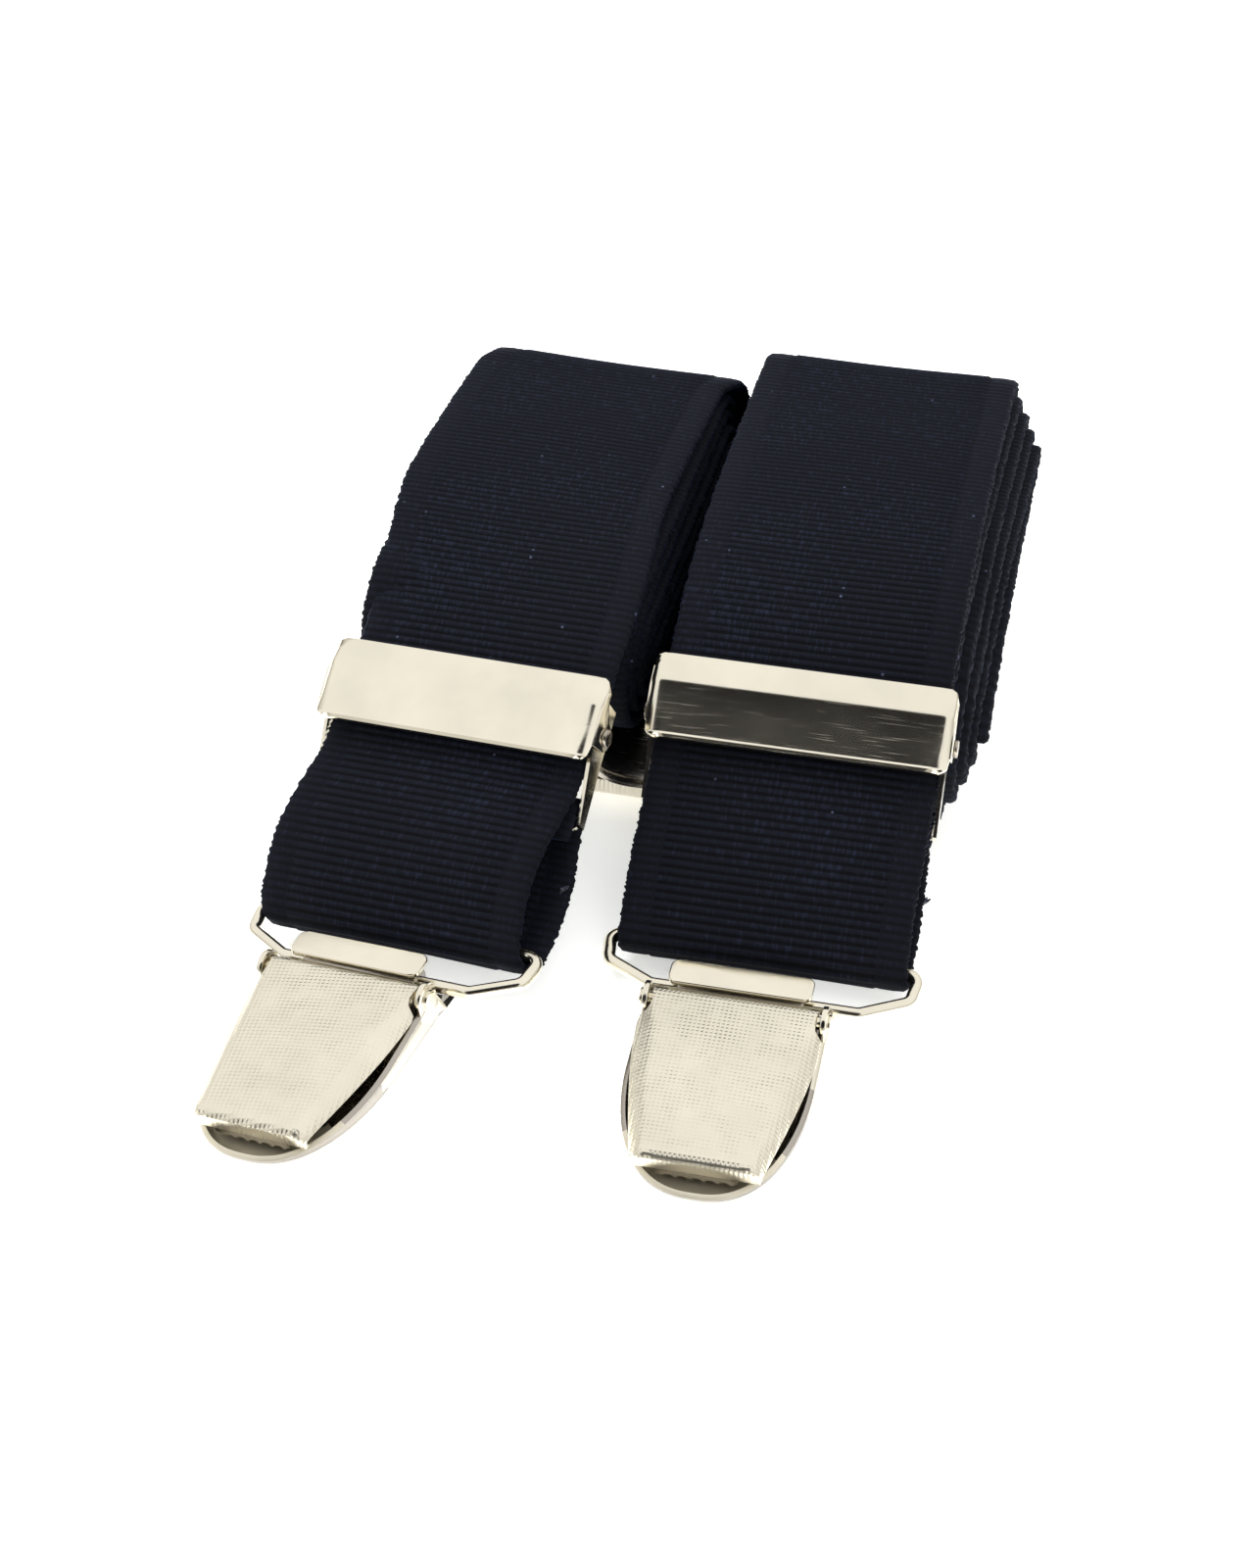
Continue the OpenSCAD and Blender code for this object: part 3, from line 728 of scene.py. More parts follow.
# The patch's near edge along each roll, where it first meets the webbing
EDGE_Y = {
    "left": (PATCH_NEAR - LEFT_AT[1] + WEB_W / 2 * math.sin(math.radians(LEFT_YAW)))
    / math.cos(math.radians(LEFT_YAW)),
    "right": PATCH_NEAR,
}


def tail(side):
    """The bottom layer's end, down from the roll and in between the patch's leather layers."""
    edge = EDGE_Y[side]
    flat = np.array([[0, edge + 8, PATCH_Z, 0]])
    t = np.linspace(0, 1, 24)[:, None]
    ease = t * t * (3 - 2 * t)
    y = edge - 0.5 - 10.5 * t
    z = PATCH_Z + (TAIL_Z - PATCH_Z) * ease
    return np.concatenate([flat, np.concatenate([0 * t, y, z, 0 * t], axis=1)])


def strap_route(side):
    draws = random.Random(11 if side == "left" else 29)
    inner = wound(False, STEPS[side], draws, LEAN[side])
    outer = wound(True, STEPS[side], draws, LEAN[side])
    lower = [half[::-1] for half in reversed(inner)]
    return np.concatenate([tail(side), *lower, *outer, front_bend(side), front_layer(side), bar_loop(side)])


def resampled(route, step):
    """The same route with stations an even step apart, and the length it has."""
    gaps = np.linalg.norm(np.diff(route[:, :3], axis=0), axis=1)
    keep = np.concatenate([[True], gaps > 1e-6])
    route = route[keep]
    at = np.concatenate([[0], np.cumsum(np.linalg.norm(np.diff(route[:, :3], axis=0), axis=1))])
    count = int(round(at[-1] / step))
    places = np.linspace(0, at[-1], count + 1)
    return np.stack([np.interp(places, at, route[:, k]) for k in range(route.shape[1])], axis=1), at[-1]


def eased(values, radius):
    """Running mean that keeps both ends, so that joints between arcs and straights don't kink."""
    kernel = np.ones(2 * radius + 1) / (2 * radius + 1)
    padded = np.concatenate([np.repeat(values[:1], radius, 0), values, np.repeat(values[-1:], radius, 0)])
    return np.stack([np.convolve(padded[:, k], kernel, "valid") for k in range(values.shape[1])], axis=1)


DROOP_AHEAD = 11.0
DROOP_DOWN = 6.0
DROOP_ALL = 0.4
# The droop starts this far behind the near folds' centres and is whole after the second length
DROOP_FROM, DROOP_OVER = 20, 30


def drooped(points, twist):
    """The right roll's near folds, slack: they hang forwards, and lower towards the outer edge."""
    near = np.clip((NEAR_Y + DROOP_FROM - points[..., 1]) / DROOP_OVER, 0, 1)
    below = np.clip((TOP_NEAR_Z + 0.5 - points[..., 2]) / 7, 0, 1)
    share = (near * near * (3 - 2 * near)) * below * (twist == 0)[:, None]
    moved_points = points.copy()
    moved_points[..., 1] -= DROOP_AHEAD * share
    moved_points[..., 2] -= (DROOP_ALL + DROOP_DOWN * (points[..., 0] / WEB_W + 0.5)) * share
    return moved_points


SAMPLES_PER_RIB = 4


def ribbon(name, route, place, side=None, thickness=WEB_T, soften=5, start_length=0.0, wave=0.12, seed=5):
    """Webbing along a route, with its ribs, grooves and beaded edges in the mesh.

    Returns the piece and the length of its middle line.
    """
    web = settings("webbing")
    step = web.rib_pitch / MM / SAMPLES_PER_RIB
    rib_height = web.rib_height / MM
    stations, length = resampled(route, step)
    if soften:
        smoothed = eased(stations, soften)
        smoothed[:soften], smoothed[-soften:] = stations[:soften], stations[-soften:]
        stations = smoothed
    rows, columns = len(stations), len(COLUMNS)
    across = np.array(COLUMNS)
    ahead = np.gradient(stations[:, 1:3], axis=0)
    ahead /= np.linalg.norm(ahead, axis=1)[:, None]
    up = np.stack([-ahead[:, 1], ahead[:, 0]], axis=1)
    draws = np.random.default_rng(seed)
    bead = draws.uniform(-0.16, 0.16, (rows, 2))
    lengths = np.arange(rows) * step + start_length
    crown = wave * np.sin(lengths / 9.0)[:, None] * np.cos(across / 6.0)[None, :]
    rib = 0.5 + 0.5 * np.cos(2 * np.pi * np.arange(rows) / SAMPLES_PER_RIB)
    relief = rib_height * rib[:, None] * np.where(np.abs(across) > GROOVE_AT, 0.45, 1.0)[None, :]
    relief = relief - GROOVE_DEPTH * (np.abs(np.abs(across) - GROOVE_AT) < 0.05)[None, :]
    rounding = np.where(np.abs(across) > 17.4, -0.42, np.where(np.abs(across) > 17.0, -0.1, 0.0))
    faces = []
    for sign in (1, -1):
        x = np.repeat(across[None, :], rows, 0)
        x[:, 0] += bead[:, 0] + 0.1 * rib
        x[:, -1] += bead[:, 1] - 0.1 * rib
        height = sign * (thickness / 2 - rib_height / 2 + relief + rounding[None, :]) + crown
        y = stations[:, 1:2] + up[:, 0:1] * height
        z = stations[:, 2:3] + up[:, 1:2] * height
        faces.append(np.stack([x + stations[:, 0:1], y, z], axis=2))
    if side == "right":
        faces = [drooped(face, stations[:, 3]) for face in faces]
        middle = drooped(stations[:, None, :3], stations[:, 3])[:, 0]
        length = float(np.linalg.norm(np.diff(middle, axis=0), axis=1).sum())
    # one closed section: the upper face left to right, then the lower face back
    shell = np.concatenate([faces[0], faces[1][:, ::-1], faces[0][:, :1]], axis=1)
    if side and END_YAW[side]:
        shares = np.round(stations[:, 3], 4)
        for share in np.unique(shares):
            at = shares == share
            if share > 0:
                shell[at] = moved(shell[at], end_twist(side, float(share)))
    obj = grid_piece(name, moved(shell, place))
    # the unrolled sheet's own lengths, in metres, for the weave
    half = 2 * columns
    u = np.concatenate([across, across[::-1], across[:1]]) + WEB_W / 2
    layer = obj.data.uv_layers["UVMap"] if "UVMap" in obj.data.uv_layers else obj.data.uv_layers[0]
    layer.name = "UVMap"
    grid_uv = np.empty(len(layer.data) * 2)
    layer.data.foreach_get("uv", grid_uv)
    grid_uv = grid_uv.reshape(-1, 2)
    i = np.rint(grid_uv[:, 1] * (rows - 1)).astype(int)
    j = np.rint(grid_uv[:, 0] * half).astype(int)
    layer.data.foreach_set("uv", np.stack([u[j] * MM, lengths[i] * MM], axis=1).reshape(-1))
    in_edit_mode(
        obj,
        (bpy.ops.mesh.remove_doubles, {"threshold": SAME_POINT}),
        (bpy.ops.mesh.select_all, {"action": "DESELECT"}),
        (bpy.ops.mesh.select_non_manifold, {}),
        (bpy.ops.mesh.fill_holes, {"sides": 0}),
        (bpy.ops.mesh.select_all, {"action": "SELECT"}),
        (bpy.ops.mesh.normals_make_consistent, {"inside": False}),
    )
    smooth(obj, 75)
    return wearing(obj, "webbing"), length


def stitches(name, points, length=2.2, radius=0.22, place=ON_TABLE):
    """A row of thread stitches through points given as (position, direction) in layout millimetres."""
    parts = []
    deselect()
    bpy.ops.mesh.primitive_uv_sphere_add(segments=8, ring_count=6, radius=1)
    pattern = made("stitch_pattern")
    unit_points = points_of(pattern)
    for k, (at, along) in enumerate(points):
        activate(pattern)
        bpy.ops.object.duplicate()
        copy = made("%s_%03d" % (name, k))
        along = unit(np.array(along, float))
        side = unit(np.cross(along, (0.13, 0.21, 0.97)))
        third = np.cross(along, side)
        scaled = unit_points * np.array([length / 2, radius, radius])
        turned = scaled @ np.array([along, side, third])
        set_points(copy, moved(turned + np.array(at, float), place))
        parts.append(copy)
    bpy.data.objects.remove(pattern)
    obj = joined(name, parts)
    outer_normals_kept(obj)
    smooth(obj, 80)
    return wearing(obj, "thread")


# ------------------------------------------------------------------ operators

CAMERA_AT = (0.059445, -0.291075, 0.2495)
CAMERA_AIM = (-0.001055, -0.008975, 0.010)
SENSOR = 36
OPENING_TOWARDS = (-0.12, -0.77, 0.63)


class SUSPENDERS_OT_stage(bpy.types.Operator):
    """Table top, soft lights and the camera"""

    bl_idname = "suspenders.stage"
    bl_label = "Stage"

    def execute(self, context):
        scene = context.scene
        deselect()
        bpy.ops.object.camera_add(location=CAMERA_AT)
        camera = context.object
        camera.name = "camera"
        camera.rotation_euler = (Vector(CAMERA_AIM) - camera.location).to_track_quat("-Z", "Y").to_euler()
        camera.data.lens = settings("stage").focal
        camera.data.sensor_width = SENSOR
        camera.data.clip_start = 0.01
        scene.camera = camera
        deselect()
        bpy.ops.mesh.primitive_plane_add(size=40, location=(0, 0, -0.0002))
        floor = made("table_top")
        wearing(floor, "floor")
        for name, place, aim, size, power, colour in (
            ("overhead_softbox", (-0.25, 0.35, 0.85), (0, 0, 0), 0.9, 11.0, "#ffffff"),
            ("front_softbox", (0.35, -0.75, 0.55), (0, 0, 0.01), 0.5, 4.0, "#ffffff"),
            ("left_softbox", (-0.8, -0.15, 0.45), (0, 0, 0.01), 0.5, 3.2, "#ffffff"),
        ):
            deselect()
            bpy.ops.object.light_add(type="AREA", location=place)
            light = context.object
            light.name = name
            light.rotation_euler = (Vector(aim) - Vector(place)).to_track_quat("-Z", "Y").to_euler()
            light.data.size = size
            light.data.energy = power
            light.data.color = linear(colour)[:3]
            light.visible_glossy = False
        world = bpy.data.worlds.new("pale_room")
        scene.world = world
        world.use_nodes = True
        tree = world.node_tree
        background = tree.nodes["Background"]
        # A pale room: cream-white above, greyer at the walls, with one dark opening in front of the table
        where = node(tree, "TexCoord").outputs["Generated"]
        height = node(tree, "SeparateXYZ", None, Vector=where).outputs[2]
        room = ramp(
            tree,
            maths(tree, "ADD", maths(tree, "MULTIPLY", height, 0.5), 0.5),
            (0.5, linear("#8f8d8a")),
            (0.62, linear("#d8d5ce")),
            (0.76, linear("#ffffff")),
        )
        ahead = Vector(OPENING_TOWARDS).normalized()
        dot = {"operation": "DOT_PRODUCT", 1: tuple(ahead)}
        facing = node(tree, "VectorMath", dot, i0=where).outputs["Value"]
        opening = ramp(tree, facing, (0.885, grey(0)), (0.9, grey(1)))
        sky = node(tree, "MixRGB", {"Color2": linear("#1d1c1e")}, Fac=opening, Color1=room).outputs[0]
        tree.links.new(sky, background.inputs["Color"])
        background.inputs["Strength"].default_value = 1.0
        scene.view_settings.view_transform = "Standard"
        return {"FINISHED"}


class SUSPENDERS_OT_front_straps(bpy.types.Operator):
    """The two front straps, wound up flat and led through their adjusters round the bails"""

    bl_idname = "suspenders.front_straps"
    bl_label = "Front straps"

    def execute(self, context):
        for side, seed in (("left", 3), ("right", 8)):
            place = ROLL_PLACES[side]
            strap, length = ribbon(side + "_strap_webbing", strap_route(side), place, side, seed=seed)
            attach(strap, "root")
            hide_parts(side + "_strap")
            back, back_length = ribbon(
                side + "_return_webbing",
                return_layer(side),
                place,
                side,
                thickness=1.2,
                soften=2,
                start_length=length,
                wave=0.0,
                seed=seed + 20,
            )
            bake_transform(back)
        return {"FINISHED"}


class SUSPENDERS_OT_rear_strap(bpy.types.Operator):
    """The short rear strap, folded back under the patch round the rear bail"""

    bl_idname = "suspenders.rear_strap"
    bl_label = "Rear strap"

    def execute(self, context):
        low = 0.05 + WEB_T / 2
        route = np.concatenate(
            [
                np.array([[0, PATCH_NEAR + 11, PATCH_Z, 0]]),
                arc((PATCH_FAR, (PATCH_Z + low) / 2), (PATCH_Z - low) / 2, 90, -90, 0, 0),
                arc((REAR_Y + BAIL_Y, REAR_LOOP_Z), LOOP_R, 270, 90, 0, 0),
                np.array([[0, REAR_Y + 9, 2.5, 0], [0, REAR_Y + 22, 2.35, 0]]),
            ]
        )
        place = ON_TABLE @ shift(REAR_X, 0, 0)
        strap, length = ribbon(
            "rear_strap_webbing", route, place, thickness=1.3, soften=3, wave=0.0, seed=14
        )
        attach(strap, "root")
        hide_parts("rear_strap")
        return {"FINISHED"}


def patch_outline(inset=0.0):
    """The back patch's outline, with its corners rounded."""
    wide, narrow = 38.6 - inset, WEB_W / 2 + 2 - inset
    near, far = PATCH_NEAR + inset, PATCH_FAR - inset
    corners = [
        (PATCH_MID - wide, near),
        (PATCH_MID + wide, near),
        (PATCH_MID + wide, near + 8 - inset),
        (REAR_X + narrow, far - 8),
        (REAR_X + narrow, far),
        (REAR_X - narrow, far),
        (REAR_X - narrow, far - 8),
        (PATCH_MID - wide, near + 8 - inset),
    ]
    points = []
    count = len(corners)
    for k in range(count):
        before, at, after = (np.array(corners[(k + s) % count]) for s in (-1, 0, 1))
        reach = 2.2
        first, last = at + unit(before - at) * reach, at + unit(after - at) * reach
        for t in np.linspace(0, 1, 5):
            points.append(tuple((1 - t) ** 2 * first + 2 * t * (1 - t) * at + t**2 * last))
    return points


class SUSPENDERS_OT_back_patch(bpy.types.Operator):
    """The two leather layers that the straps are sewn between, and their stitching"""

    bl_idname = "suspenders.back_patch"
    bl_label = "Back patch"

    def execute(self, context):
        gap, leather = 0.1, 1.1
        levels = {
            "patch_top_leather": PATCH_Z + WEB_T / 2 + gap,
            "patch_under_leather": PATCH_Z - WEB_T / 2 - gap - leather,
        }
        for name, low in levels.items():
            piece = plate(name + "_hide", patch_outline(), low, low + leather, 0.35, ON_TABLE, 3)
            smooth(piece, 40)
            wearing(piece, "leather")
            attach(piece, "root")
            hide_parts(name)
            outline = np.array(patch_outline(2.6) + patch_outline(2.6)[:1])
            at = np.concatenate([[0], np.cumsum(np.linalg.norm(np.diff(outline, axis=0), axis=1))])
            stitch = settings("leather").stitch / MM
            pitch = stitch + 0.7
            rows = []
            height = low + leather + 0.06 if "top" in name else low - 0.06
            for s in np.arange(0, at[-1] - pitch / 2, pitch):
                p, q = (
                    np.array([np.interp(d, at, outline[:, k]) for k in (0, 1)])
                    for d in (s, min(s + pitch * 0.8, at[-1]))
                )
                rows.append(((*((p + q) / 2), height), (*(q - p), 0)))
            seam = stitches(name + "_seam", rows, stitch)
            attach(seam, "root")
        return {"FINISHED"}


BAIL_HALF = WEB_W / 2 + 1.3
BAIL_BEND = 1.5
BAIL_DEPTH = math.hypot(BAIL_Y - KNUCKLE[0], BAIL_Z - KNUCKLE[1])
BAIL_CORNERS = (
    (-BAIL_HALF, 0.0),
    (BAIL_HALF, 0.0),
    (BAIL_HALF - 0.6, -0.6 * BAIL_DEPTH),
    (12.5, -BAIL_DEPTH),
    (-12.5, -BAIL_DEPTH),
    (-BAIL_HALF + 0.6, -0.6 * BAIL_DEPTH),
)


def bail_stations():
    """Points round the bent wire, each with its direction out of the loop."""
    stations = []
    count = len(BAIL_CORNERS)
    for k in range(count):
        before, at, after = (np.array(BAIL_CORNERS[(k + s) % count]) for s in (-1, 0, 1))
        u, v = unit(before - at), unit(after - at)
        half = math.acos(float(u @ v)) / 2
        centre = at + unit(u + v) * BAIL_BEND / math.sin(half)
        first = at + u * BAIL_BEND / math.tan(half) - centre
        start = math.atan2(first[1], first[0])
        for t in np.linspace(0, 1, 11):
            a = start - (math.pi - 2 * half) * t
            stations.append((centre[0] + BAIL_BEND * math.cos(a), centre[1] + BAIL_BEND * math.sin(a), a))
    return stations


class SUSPENDERS_OT_bails(bpy.types.Operator):
    """The bent wire that joins each strap end to its clip"""

    bl_idname = "suspenders.bails"
    bl_label = "Wire bails"

    def execute(self, context):
        for side, (place, bar_z, knuckle_z) in BAIL_PLACES.items():
            stations = bail_stations()
            sides = 20
            angles = 2 * math.pi * np.arange(sides + 1) / sides
            rings = [
                [
                    (
                        x + WIRE_R * math.cos(b) * math.cos(a),
                        y + WIRE_R * math.cos(b) * math.sin(a),
                        WIRE_R * math.sin(b),
                    )
                    for b in angles
                ]
                for x, y, a in stations + stations[:1]
            ]
            tilt = math.degrees(math.asin((bar_z - knuckle_z) / BAIL_DEPTH))
            points = moved(np.array(rings), place @ shift(0, BAIL_Y, bar_z) @ turn(tilt, "X"))
            wire = grid_piece(side + "_bail_wire", points, closed=True)
            smooth(wire, 80)
            wearing(wire, "bright")
            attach(wire, side + "_bail")
            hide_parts(side + "_bail")
        return {"FINISHED"}


JAW_ROUND_Y = -18.0
JAW_TIP_Y = -35.4


JAW_BACK_Y = -3.2
JAW_ARC_STEPS = 26
SATIN_FROM_Y = -27.5


def jaw_ring(inset, heights):
    """The tongue's outline drawn in by inset, open at the back, as points (x, y, height(y))."""
    points = []
    half = CLIP_HALF - inset
    for y in np.linspace(JAW_BACK_Y, JAW_ROUND_Y, 9)[:-1]:
        points.append((half, y))
    for k in range(JAW_ARC_STEPS + 1):
        a = math.radians(90 * k / JAW_ARC_STEPS)
        x = half * max(math.cos(a), 0.0) ** 0.8
        points.append((x, JAW_ROUND_Y + (JAW_TIP_Y - JAW_ROUND_Y + inset) * math.sin(a)))
    points += [(-x, y) for x, y in reversed(points[:-1])]
    return [(x, y, heights(y)) for x, y in points]


def wall_height(y):
    """The tongue's rim falls from the hinge to the tip."""
    t = min(max((y - JAW_TIP_Y) / (-6.6 - JAW_TIP_Y), 0), 1)
    return 1.5 + (4.6 - 1.5) * t if y < -6.6 else max(4.6 - (y + 6.6) * 3.0, 0.9)


class SUSPENDERS_OT_clip_jaws(bpy.types.Operator):
    """Each clip's rounded tongue with its ears, knuckle and stop tab"""

    bl_idname = "suspenders.clip_jaws"
    bl_label = "Clip tongues"

    def execute(self, context):
        for side, place in CLIP_PLACES.items():
            rings = [
                jaw_ring(CLIP_HALF - 0.05, lambda y: 0.35),
                jaw_ring(7.0, lambda y: 0.35),
                jaw_ring(3.0, lambda y: 0.35),
                jaw_ring(1.5, lambda y: 0.36),
                jaw_ring(0.95, lambda y: 0.5),
                jaw_ring(0.5, lambda y: 0.95),
                jaw_ring(0.37, lambda y: min(1.5, wall_height(y) - 0.3)),
                jaw_ring(0.35, lambda y: wall_height(y) - 0.25),
                jaw_ring(0.2, lambda y: wall_height(y)),
            ]
            bowl = grid_piece(side + "_tongue", np.array(rings))
            applied(bowl, "SOLIDIFY", thickness=SHEET - 0.06, offset=0)
            applied(bowl, "BEVEL", width=0.16, segments=2, limit_method="ANGLE", angle_limit=EDGE_ANGLE)
            parts = [bowl]
            for sign in (-1, 1):
                outline = [(PIN[0] - EAR_R, 2.6), (PIN[0] + EAR_R, 2.6)]
                for k in range(17):
                    a = math.radians(180 * k / 16)
                    outline.append((PIN[0] + EAR_R * math.cos(a), PIN[1] + EAR_R * math.sin(a)))
                turned = shift(sign * (CLIP_HALF - SHEET / 2), 0, 0) @ turn(90, "Z") @ turn(90, "X")
                parts.append(plate("ear", outline, -SHEET / 2, SHEET / 2, 0.14, turned))
                parts.append(
                    cylinder("washer", shift(sign * (CLIP_HALF - 0.05), *PIN), 1.45, 0.14, 0.06, 28)
                )
            parts.append(cylinder("knuckle", shift(0, *KNUCKLE), 1.7, 7.5, 0.2, 36))
            stem = [(7.5 * sx, KNUCKLE[0] + 0.6 * sy) for sx, sy in ((-1, -1), (1, -1), (1, 1), (-1, 1))]
            parts.append(plate("stem", stem, 0.5, 6.0, 0.1))
            parts.append(plate("stop_tab", rounded(17.2, 4.0, 1.2, 6, (0, -4.9)), 5.8, 6.5, 0.2, segments=3))
            tongue = joined(side + "_tongue", parts)
            set_points(tongue, moved(points_of(tongue), place))
            outer_normals_kept(tongue)
            smooth(tongue, 40)
            wearing(tongue, "dark")
            tongue.data.materials.append(finish_of("bright"))
            tongue.data.materials.append(finish_of("satin"))
            tab_level = np.array(place.inverted())
            # Top and outer side faces wear the bright plate; the faces inside the clip keep the darker plate,
            # painted shade under the cover; upward faces near the tip wear the satin plate
            for polygon in tongue.data.polygons:
                local = tab_level[:3, :3] @ np.array(polygon.center) + tab_level[:3, 3]
                if local[2] > 5.6 or abs(local[0]) > CLIP_HALF - 0.2:
                    polygon.material_index = 1
                elif local[1] < SATIN_FROM_Y and (tab_level[:3, :3] @ np.array(polygon.normal))[2] > 0.3:
                    polygon.material_index = 2
            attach(tongue, side + "_clip")
            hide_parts(side + "_clip_jaw")
            pin = cylinder(side + "_hinge_pin", place @ shift(0, *PIN), 0.8, CLIP_HALF + 0.3, 0.15, 28)
            heads = [pin]
            for sign in (-1, 1):
                heads.append(
                    cylinder("head", place @ shift(sign * (CLIP_HALF + 0.24), *PIN), 1.2, 0.21, 0.15, 28)
                )
            pin = joined(side + "_hinge_pin", heads)
            smooth(pin, 40)
            wearing(pin, "bright")
            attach(pin, side + "_clip")
            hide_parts(side + "_clip_pin")
        return {"FINISHED"}


COVER_HALF = 9.8
COVER_TIP_HALF = 6.5
COVER_LEN = 24.4
COVER_TILT = 3.2
BARREL_R = 1.55
COVER_CROWN = 0.22


def cover_points():
    """The pressed cover: a tapered face with its sides folded down and its root curled round the pin."""
    face_z = BARREL_R - 0.35
    rows = []
    # curl round the pin, from behind and below up to the face
    for angle in np.linspace(-35, 90, 9)[:-1]:
        a = math.radians(angle)
        rows.append((1.2 * math.cos(a), 1.2 * math.sin(a), 0.0))
    for y in np.linspace(0, -COVER_LEN + 0.9, 30):
        rows.append((y, face_z, 1.0))
    rows.append((-COVER_LEN + 0.4, face_z - 0.12, 1.0))
    rows.append((-COVER_LEN + 0.12, face_z - 0.5, 1.0))
    rows.append((-COVER_LEN + 0.3, -0.9, 1.0))
    points = []
    for y, z, flange in rows:
        t = min(max(-y / COVER_LEN, 0), 1)
        half = COVER_HALF + (COVER_TIP_HALF - COVER_HALF) * t
        crown = COVER_CROWN * flange * math.sin(math.pi * t) * (1 if z > face_z - 0.05 else 0)
        fold = min(max((-y - 2.2) / 1.2, 0), 1) if flange else 0.0
        row = []
        splay = fold * (0.9 + 0.9 * math.sin(math.pi * min(t, 1.0) ** 0.8))
        low = max(z - fold * 1.25, min(z, -1.0))
        row.append((-half + 0.05 - splay, y, low))
        row.append((-half + 0.1 - 0.5 * splay, y, 0.5 * (z + low)))
        row.append((-half + 0.2 - 0.1 * splay, y, z - 0.12 * (z - low)))
        row.append((-half + 0.4, y, z - fold * 0.02))
        for s in np.linspace(-1, 1, 13):
            x = s * (half - 0.75)
            row.append((x, y, z + crown * (1 - s * s)))
        row += [(-x, py, pz) for x, py, pz in reversed(row[:4])]
        points.append(row)
    return np.array(points)


class SUSPENDERS_OT_clip_covers(bpy.types.Operator):
    """Each clip's linen-stamped cover lever"""

    bl_idname = "suspenders.clip_covers"
    bl_label = "Clip covers"

    def execute(self, context):
        for side, place in CLIP_PLACES.items():
            cover = grid_piece(side + "_cover", cover_points())
            applied(cover, "SOLIDIFY", thickness=SHEET - 0.1, offset=0)
            applied(cover, "BEVEL", width=0.13, segments=2, limit_method="ANGLE", angle_limit=EDGE_ANGLE)
            barrels = [cover]
            for sign in (-1, 1):
                barrels.append(cylinder("barrel", shift(sign * 7.0, 0, 0), 1.5, 2.7, 0.15, 28))
            cover = joined(side + "_cover", barrels)
            turned = place @ shift(0, *PIN) @ turn(COVER_TILT, "X")
            set_points(cover, moved(points_of(cover), turned))
            outer_normals_kept(cover)
            smooth(cover, 38)
            wearing(cover, "linen")
            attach(cover, side + "_clip_lever")
            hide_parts(side + "_clip_cover")
            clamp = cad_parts[side + "_clip_clamp"]
            # The clamp under the cover wears the darker plate, painted shade
            wearing(clamp, "dark")
        return {"FINISHED"}


ADJ_W = 37.5
ADJ_H = 10.5
PIVOT = (-1.2, 0.2)


def adjuster_points():
    """The cover plate: two flats that meet at a soft crease, with rolled upper and lower rims."""
    rows = []
    profile = [
        (-5.25, 2.66),
        (-5.2, 2.94),
        (-5.0, 3.04),
        (-4.85, 3.0),
        (-4.7, 3.01),
        (-1.7, 3.38),
        (1.3, 3.74),
        (1.55, 3.8),
        (1.85, 3.78),
        (3.6, 3.38),
        (4.8, 3.08),
        (5.15, 2.9),
        (5.25, 2.52),
    ]
    corner = 1.4
    for y, z in profile:
        inset = 0.0
        over = abs(y) - (ADJ_H / 2 - corner)
        if over > 0:
            inset = corner - math.sqrt(max(corner * corner - over * over, 0.0))
        half = ADJ_W / 2 - inset
        half -= 0.25
        deep = max(0.15, 1 - inset / 0.3)
        row = [
            (-half, y, z - 1.5 * deep),
            (-half + 0.02, y, z - 0.8 * deep),
            (-half + 0.3, y, z - 0.3 * min(1.0, 0.3 + deep)),
            (-half + 0.8, y, z - 0.06),
            (-half + 1.2, y, z),
        ]
        row += [(s * (half - 1.8), y, z) for s in np.linspace(-1, 1, 15)]
        row += [(-x, py, pz) for x, py, pz in reversed(row[:5])]
        rows.append(row)
    return np.array(rows)


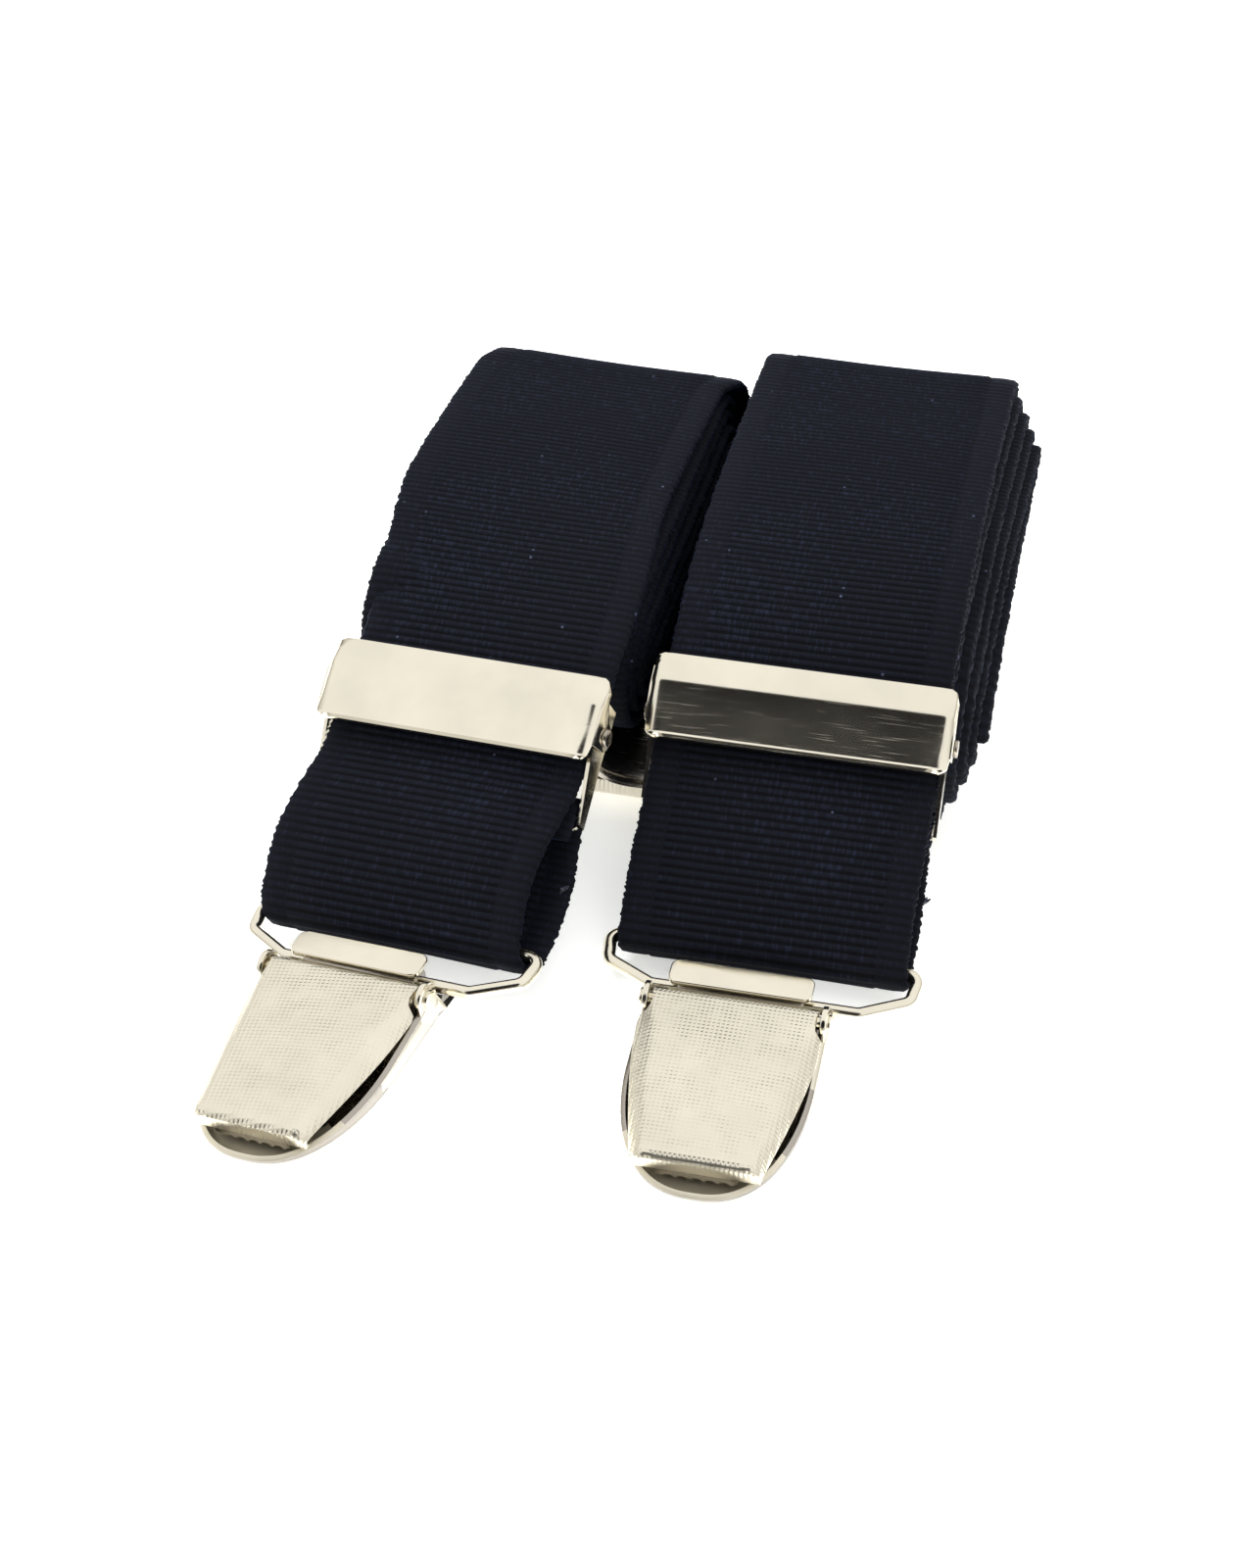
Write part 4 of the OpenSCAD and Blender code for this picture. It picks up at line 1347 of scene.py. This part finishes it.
class SUSPENDERS_OT_adjusters(bpy.types.Operator):
    """The toothed slide adjusters: creased cover plate, ears, biting lip and frame"""

    bl_idname = "suspenders.adjusters"
    bl_label = "Adjusters"

    def execute(self, context):
        for side in ("left", "right"):
            place = adjuster_place(side)
            plate_piece = grid_piece(side + "_plate", adjuster_points())
            applied(plate_piece, "SOLIDIFY", thickness=0.5, offset=0)
            applied(
                plate_piece, "BEVEL", width=0.12, segments=2, limit_method="ANGLE", angle_limit=EDGE_ANGLE
            )
            parts = [plate_piece]
            for sign in (-1, 1):
                outline = [(3.6, 2.9), (0.9, 3.4), (-3.4, 2.9), (-3.0, 0.4)]
                for k in range(15):
                    a = math.radians(190 + 160 * k / 14)
                    outline.append((PIVOT[0] + 1.8 * math.cos(a), PIVOT[1] + 1.8 * math.sin(a)))
                outline.append((1.0, 0.6))
                turned = shift(sign * (ADJ_W / 2 - 0.2), 0, 0) @ turn(90, "Z") @ turn(90, "X")
                parts.append(plate("ear", outline, -0.2, 0.2, 0.1, turned))
            lip = [(-16.5, 0.0), (16.5, 0.0)]
            pitch = 33 / 14
            for k in range(14):
                x = 16.5 - k * pitch
                lip += [(x, -2.0), (x - pitch / 2, -2.6)]
            lip.append((-16.5, -2.0))
            parts.append(plate("lip", lip, -0.3, 0.3, 0.05, shift(0, 0.9, 3.4) @ turn(90, "X"), 1))
            cover = joined(side + "_adjuster_plate", parts)
            set_points(cover, moved(points_of(cover), place))
            outer_normals_kept(cover)
            smooth(cover, 38)
            wearing(cover, "bright")
            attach(cover, side + "_adjuster_lever")
            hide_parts(side + "_adjuster_cover")
            wearing(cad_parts[side + "_adjuster_frame"], "bright")
            rivets = []
            for sign in (-1, 1):
                shank_at = place @ shift(sign * 18.3, *PIVOT)
                head_at = place @ shift(sign * (ADJ_W / 2 + 0.28), *PIVOT)
                rivets.append(cylinder("shank", shank_at, 0.6, 0.6, 0.05, 20))
                rivets.append(cylinder("head", head_at, 1.1, 0.25, 0.18, 28))
            rivet = joined(side + "_rivet_pair", rivets)
            smooth(rivet, 40)
            wearing(rivet, "dark")
            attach(rivet, side + "_adjuster")
            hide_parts(side + "_adjuster_rivets")
        return {"FINISHED"}


class SUSPENDERS_OT_end_stitching(bpy.types.Operator):
    """The sewn seams that close the straps' loops, and the loose thread ends beside them"""

    bl_idname = "suspenders.end_stitching"
    bl_label = "End stitching"

    def execute(self, context):
        for side in ("left", "right"):
            slope, bar_z = SLOPES[side], BAR_Z[side]
            place = ROLL_PLACES[side] @ end_twist(side)
            rows = []
            for d in (10.6, 13.0):
                for x in np.arange(-15.5, 15.6, 2.6):
                    rows.append(((x, *front_point(slope, bar_z, d, -LOOP_R - 2.05)), (1, 0, 0)))
            # the knot at the loop's outer edge
            knot = np.array((17.7, *front_point(slope, bar_z, 9.5, -LOOP_R - 0.6)))
            for along in ((0.3, 1, 0.2), (0.8, 0.2, 0.7), (0.2, -0.6, 0.9)):
                rows.append((tuple(knot + 0.25 * np.array(along)), along))
            seam = stitches(side + "_end_seam", rows, 1.7, 0.2, place)
            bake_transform(seam)
        return {"FINISHED"}


OPERATORS = (
    SUSPENDERS_OT_stage,
    SUSPENDERS_OT_front_straps,
    SUSPENDERS_OT_rear_strap,
    SUSPENDERS_OT_back_patch,
    SUSPENDERS_OT_bails,
    SUSPENDERS_OT_clip_jaws,
    SUSPENDERS_OT_clip_covers,
    SUSPENDERS_OT_adjusters,
    SUSPENDERS_OT_end_stitching,
)


class SUSPENDERS_PT_sidebar(bpy.types.Panel):
    """Buttons for each group of pieces"""

    bl_label = "Suspenders"
    bl_idname = "SUSPENDERS_PT_sidebar"
    bl_space_type = "VIEW_3D"
    bl_region_type = "UI"
    bl_category = "Suspenders"

    def draw(self, context):
        for group in GROUPS:
            box = self.layout.box()
            values = settings(group)
            for name in values.bl_rna.properties.keys():
                if name not in ("rna_type", "name"):
                    box.prop(values, name)
        for operator in OPERATORS:
            self.layout.operator(operator.bl_idname)


def register():
    for group, properties in GROUPS.items():
        bpy.utils.register_class(properties)
        setattr(bpy.types.Scene, "suspenders_" + group, bpy.props.PointerProperty(type=properties))
    for operator in OPERATORS:
        bpy.utils.register_class(operator)
    bpy.utils.register_class(SUSPENDERS_PT_sidebar)


def unregister():
    bpy.utils.unregister_class(SUSPENDERS_PT_sidebar)
    for operator in reversed(OPERATORS):
        bpy.utils.unregister_class(operator)
    for group, properties in GROUPS.items():
        delattr(bpy.types.Scene, "suspenders_" + group)
        bpy.utils.unregister_class(properties)


def main():
    register()
    for operator in OPERATORS:
        group, name = operator.bl_idname.split(".")
        getattr(getattr(bpy.ops, group), name)()


if __name__ == "__main__":
    main()
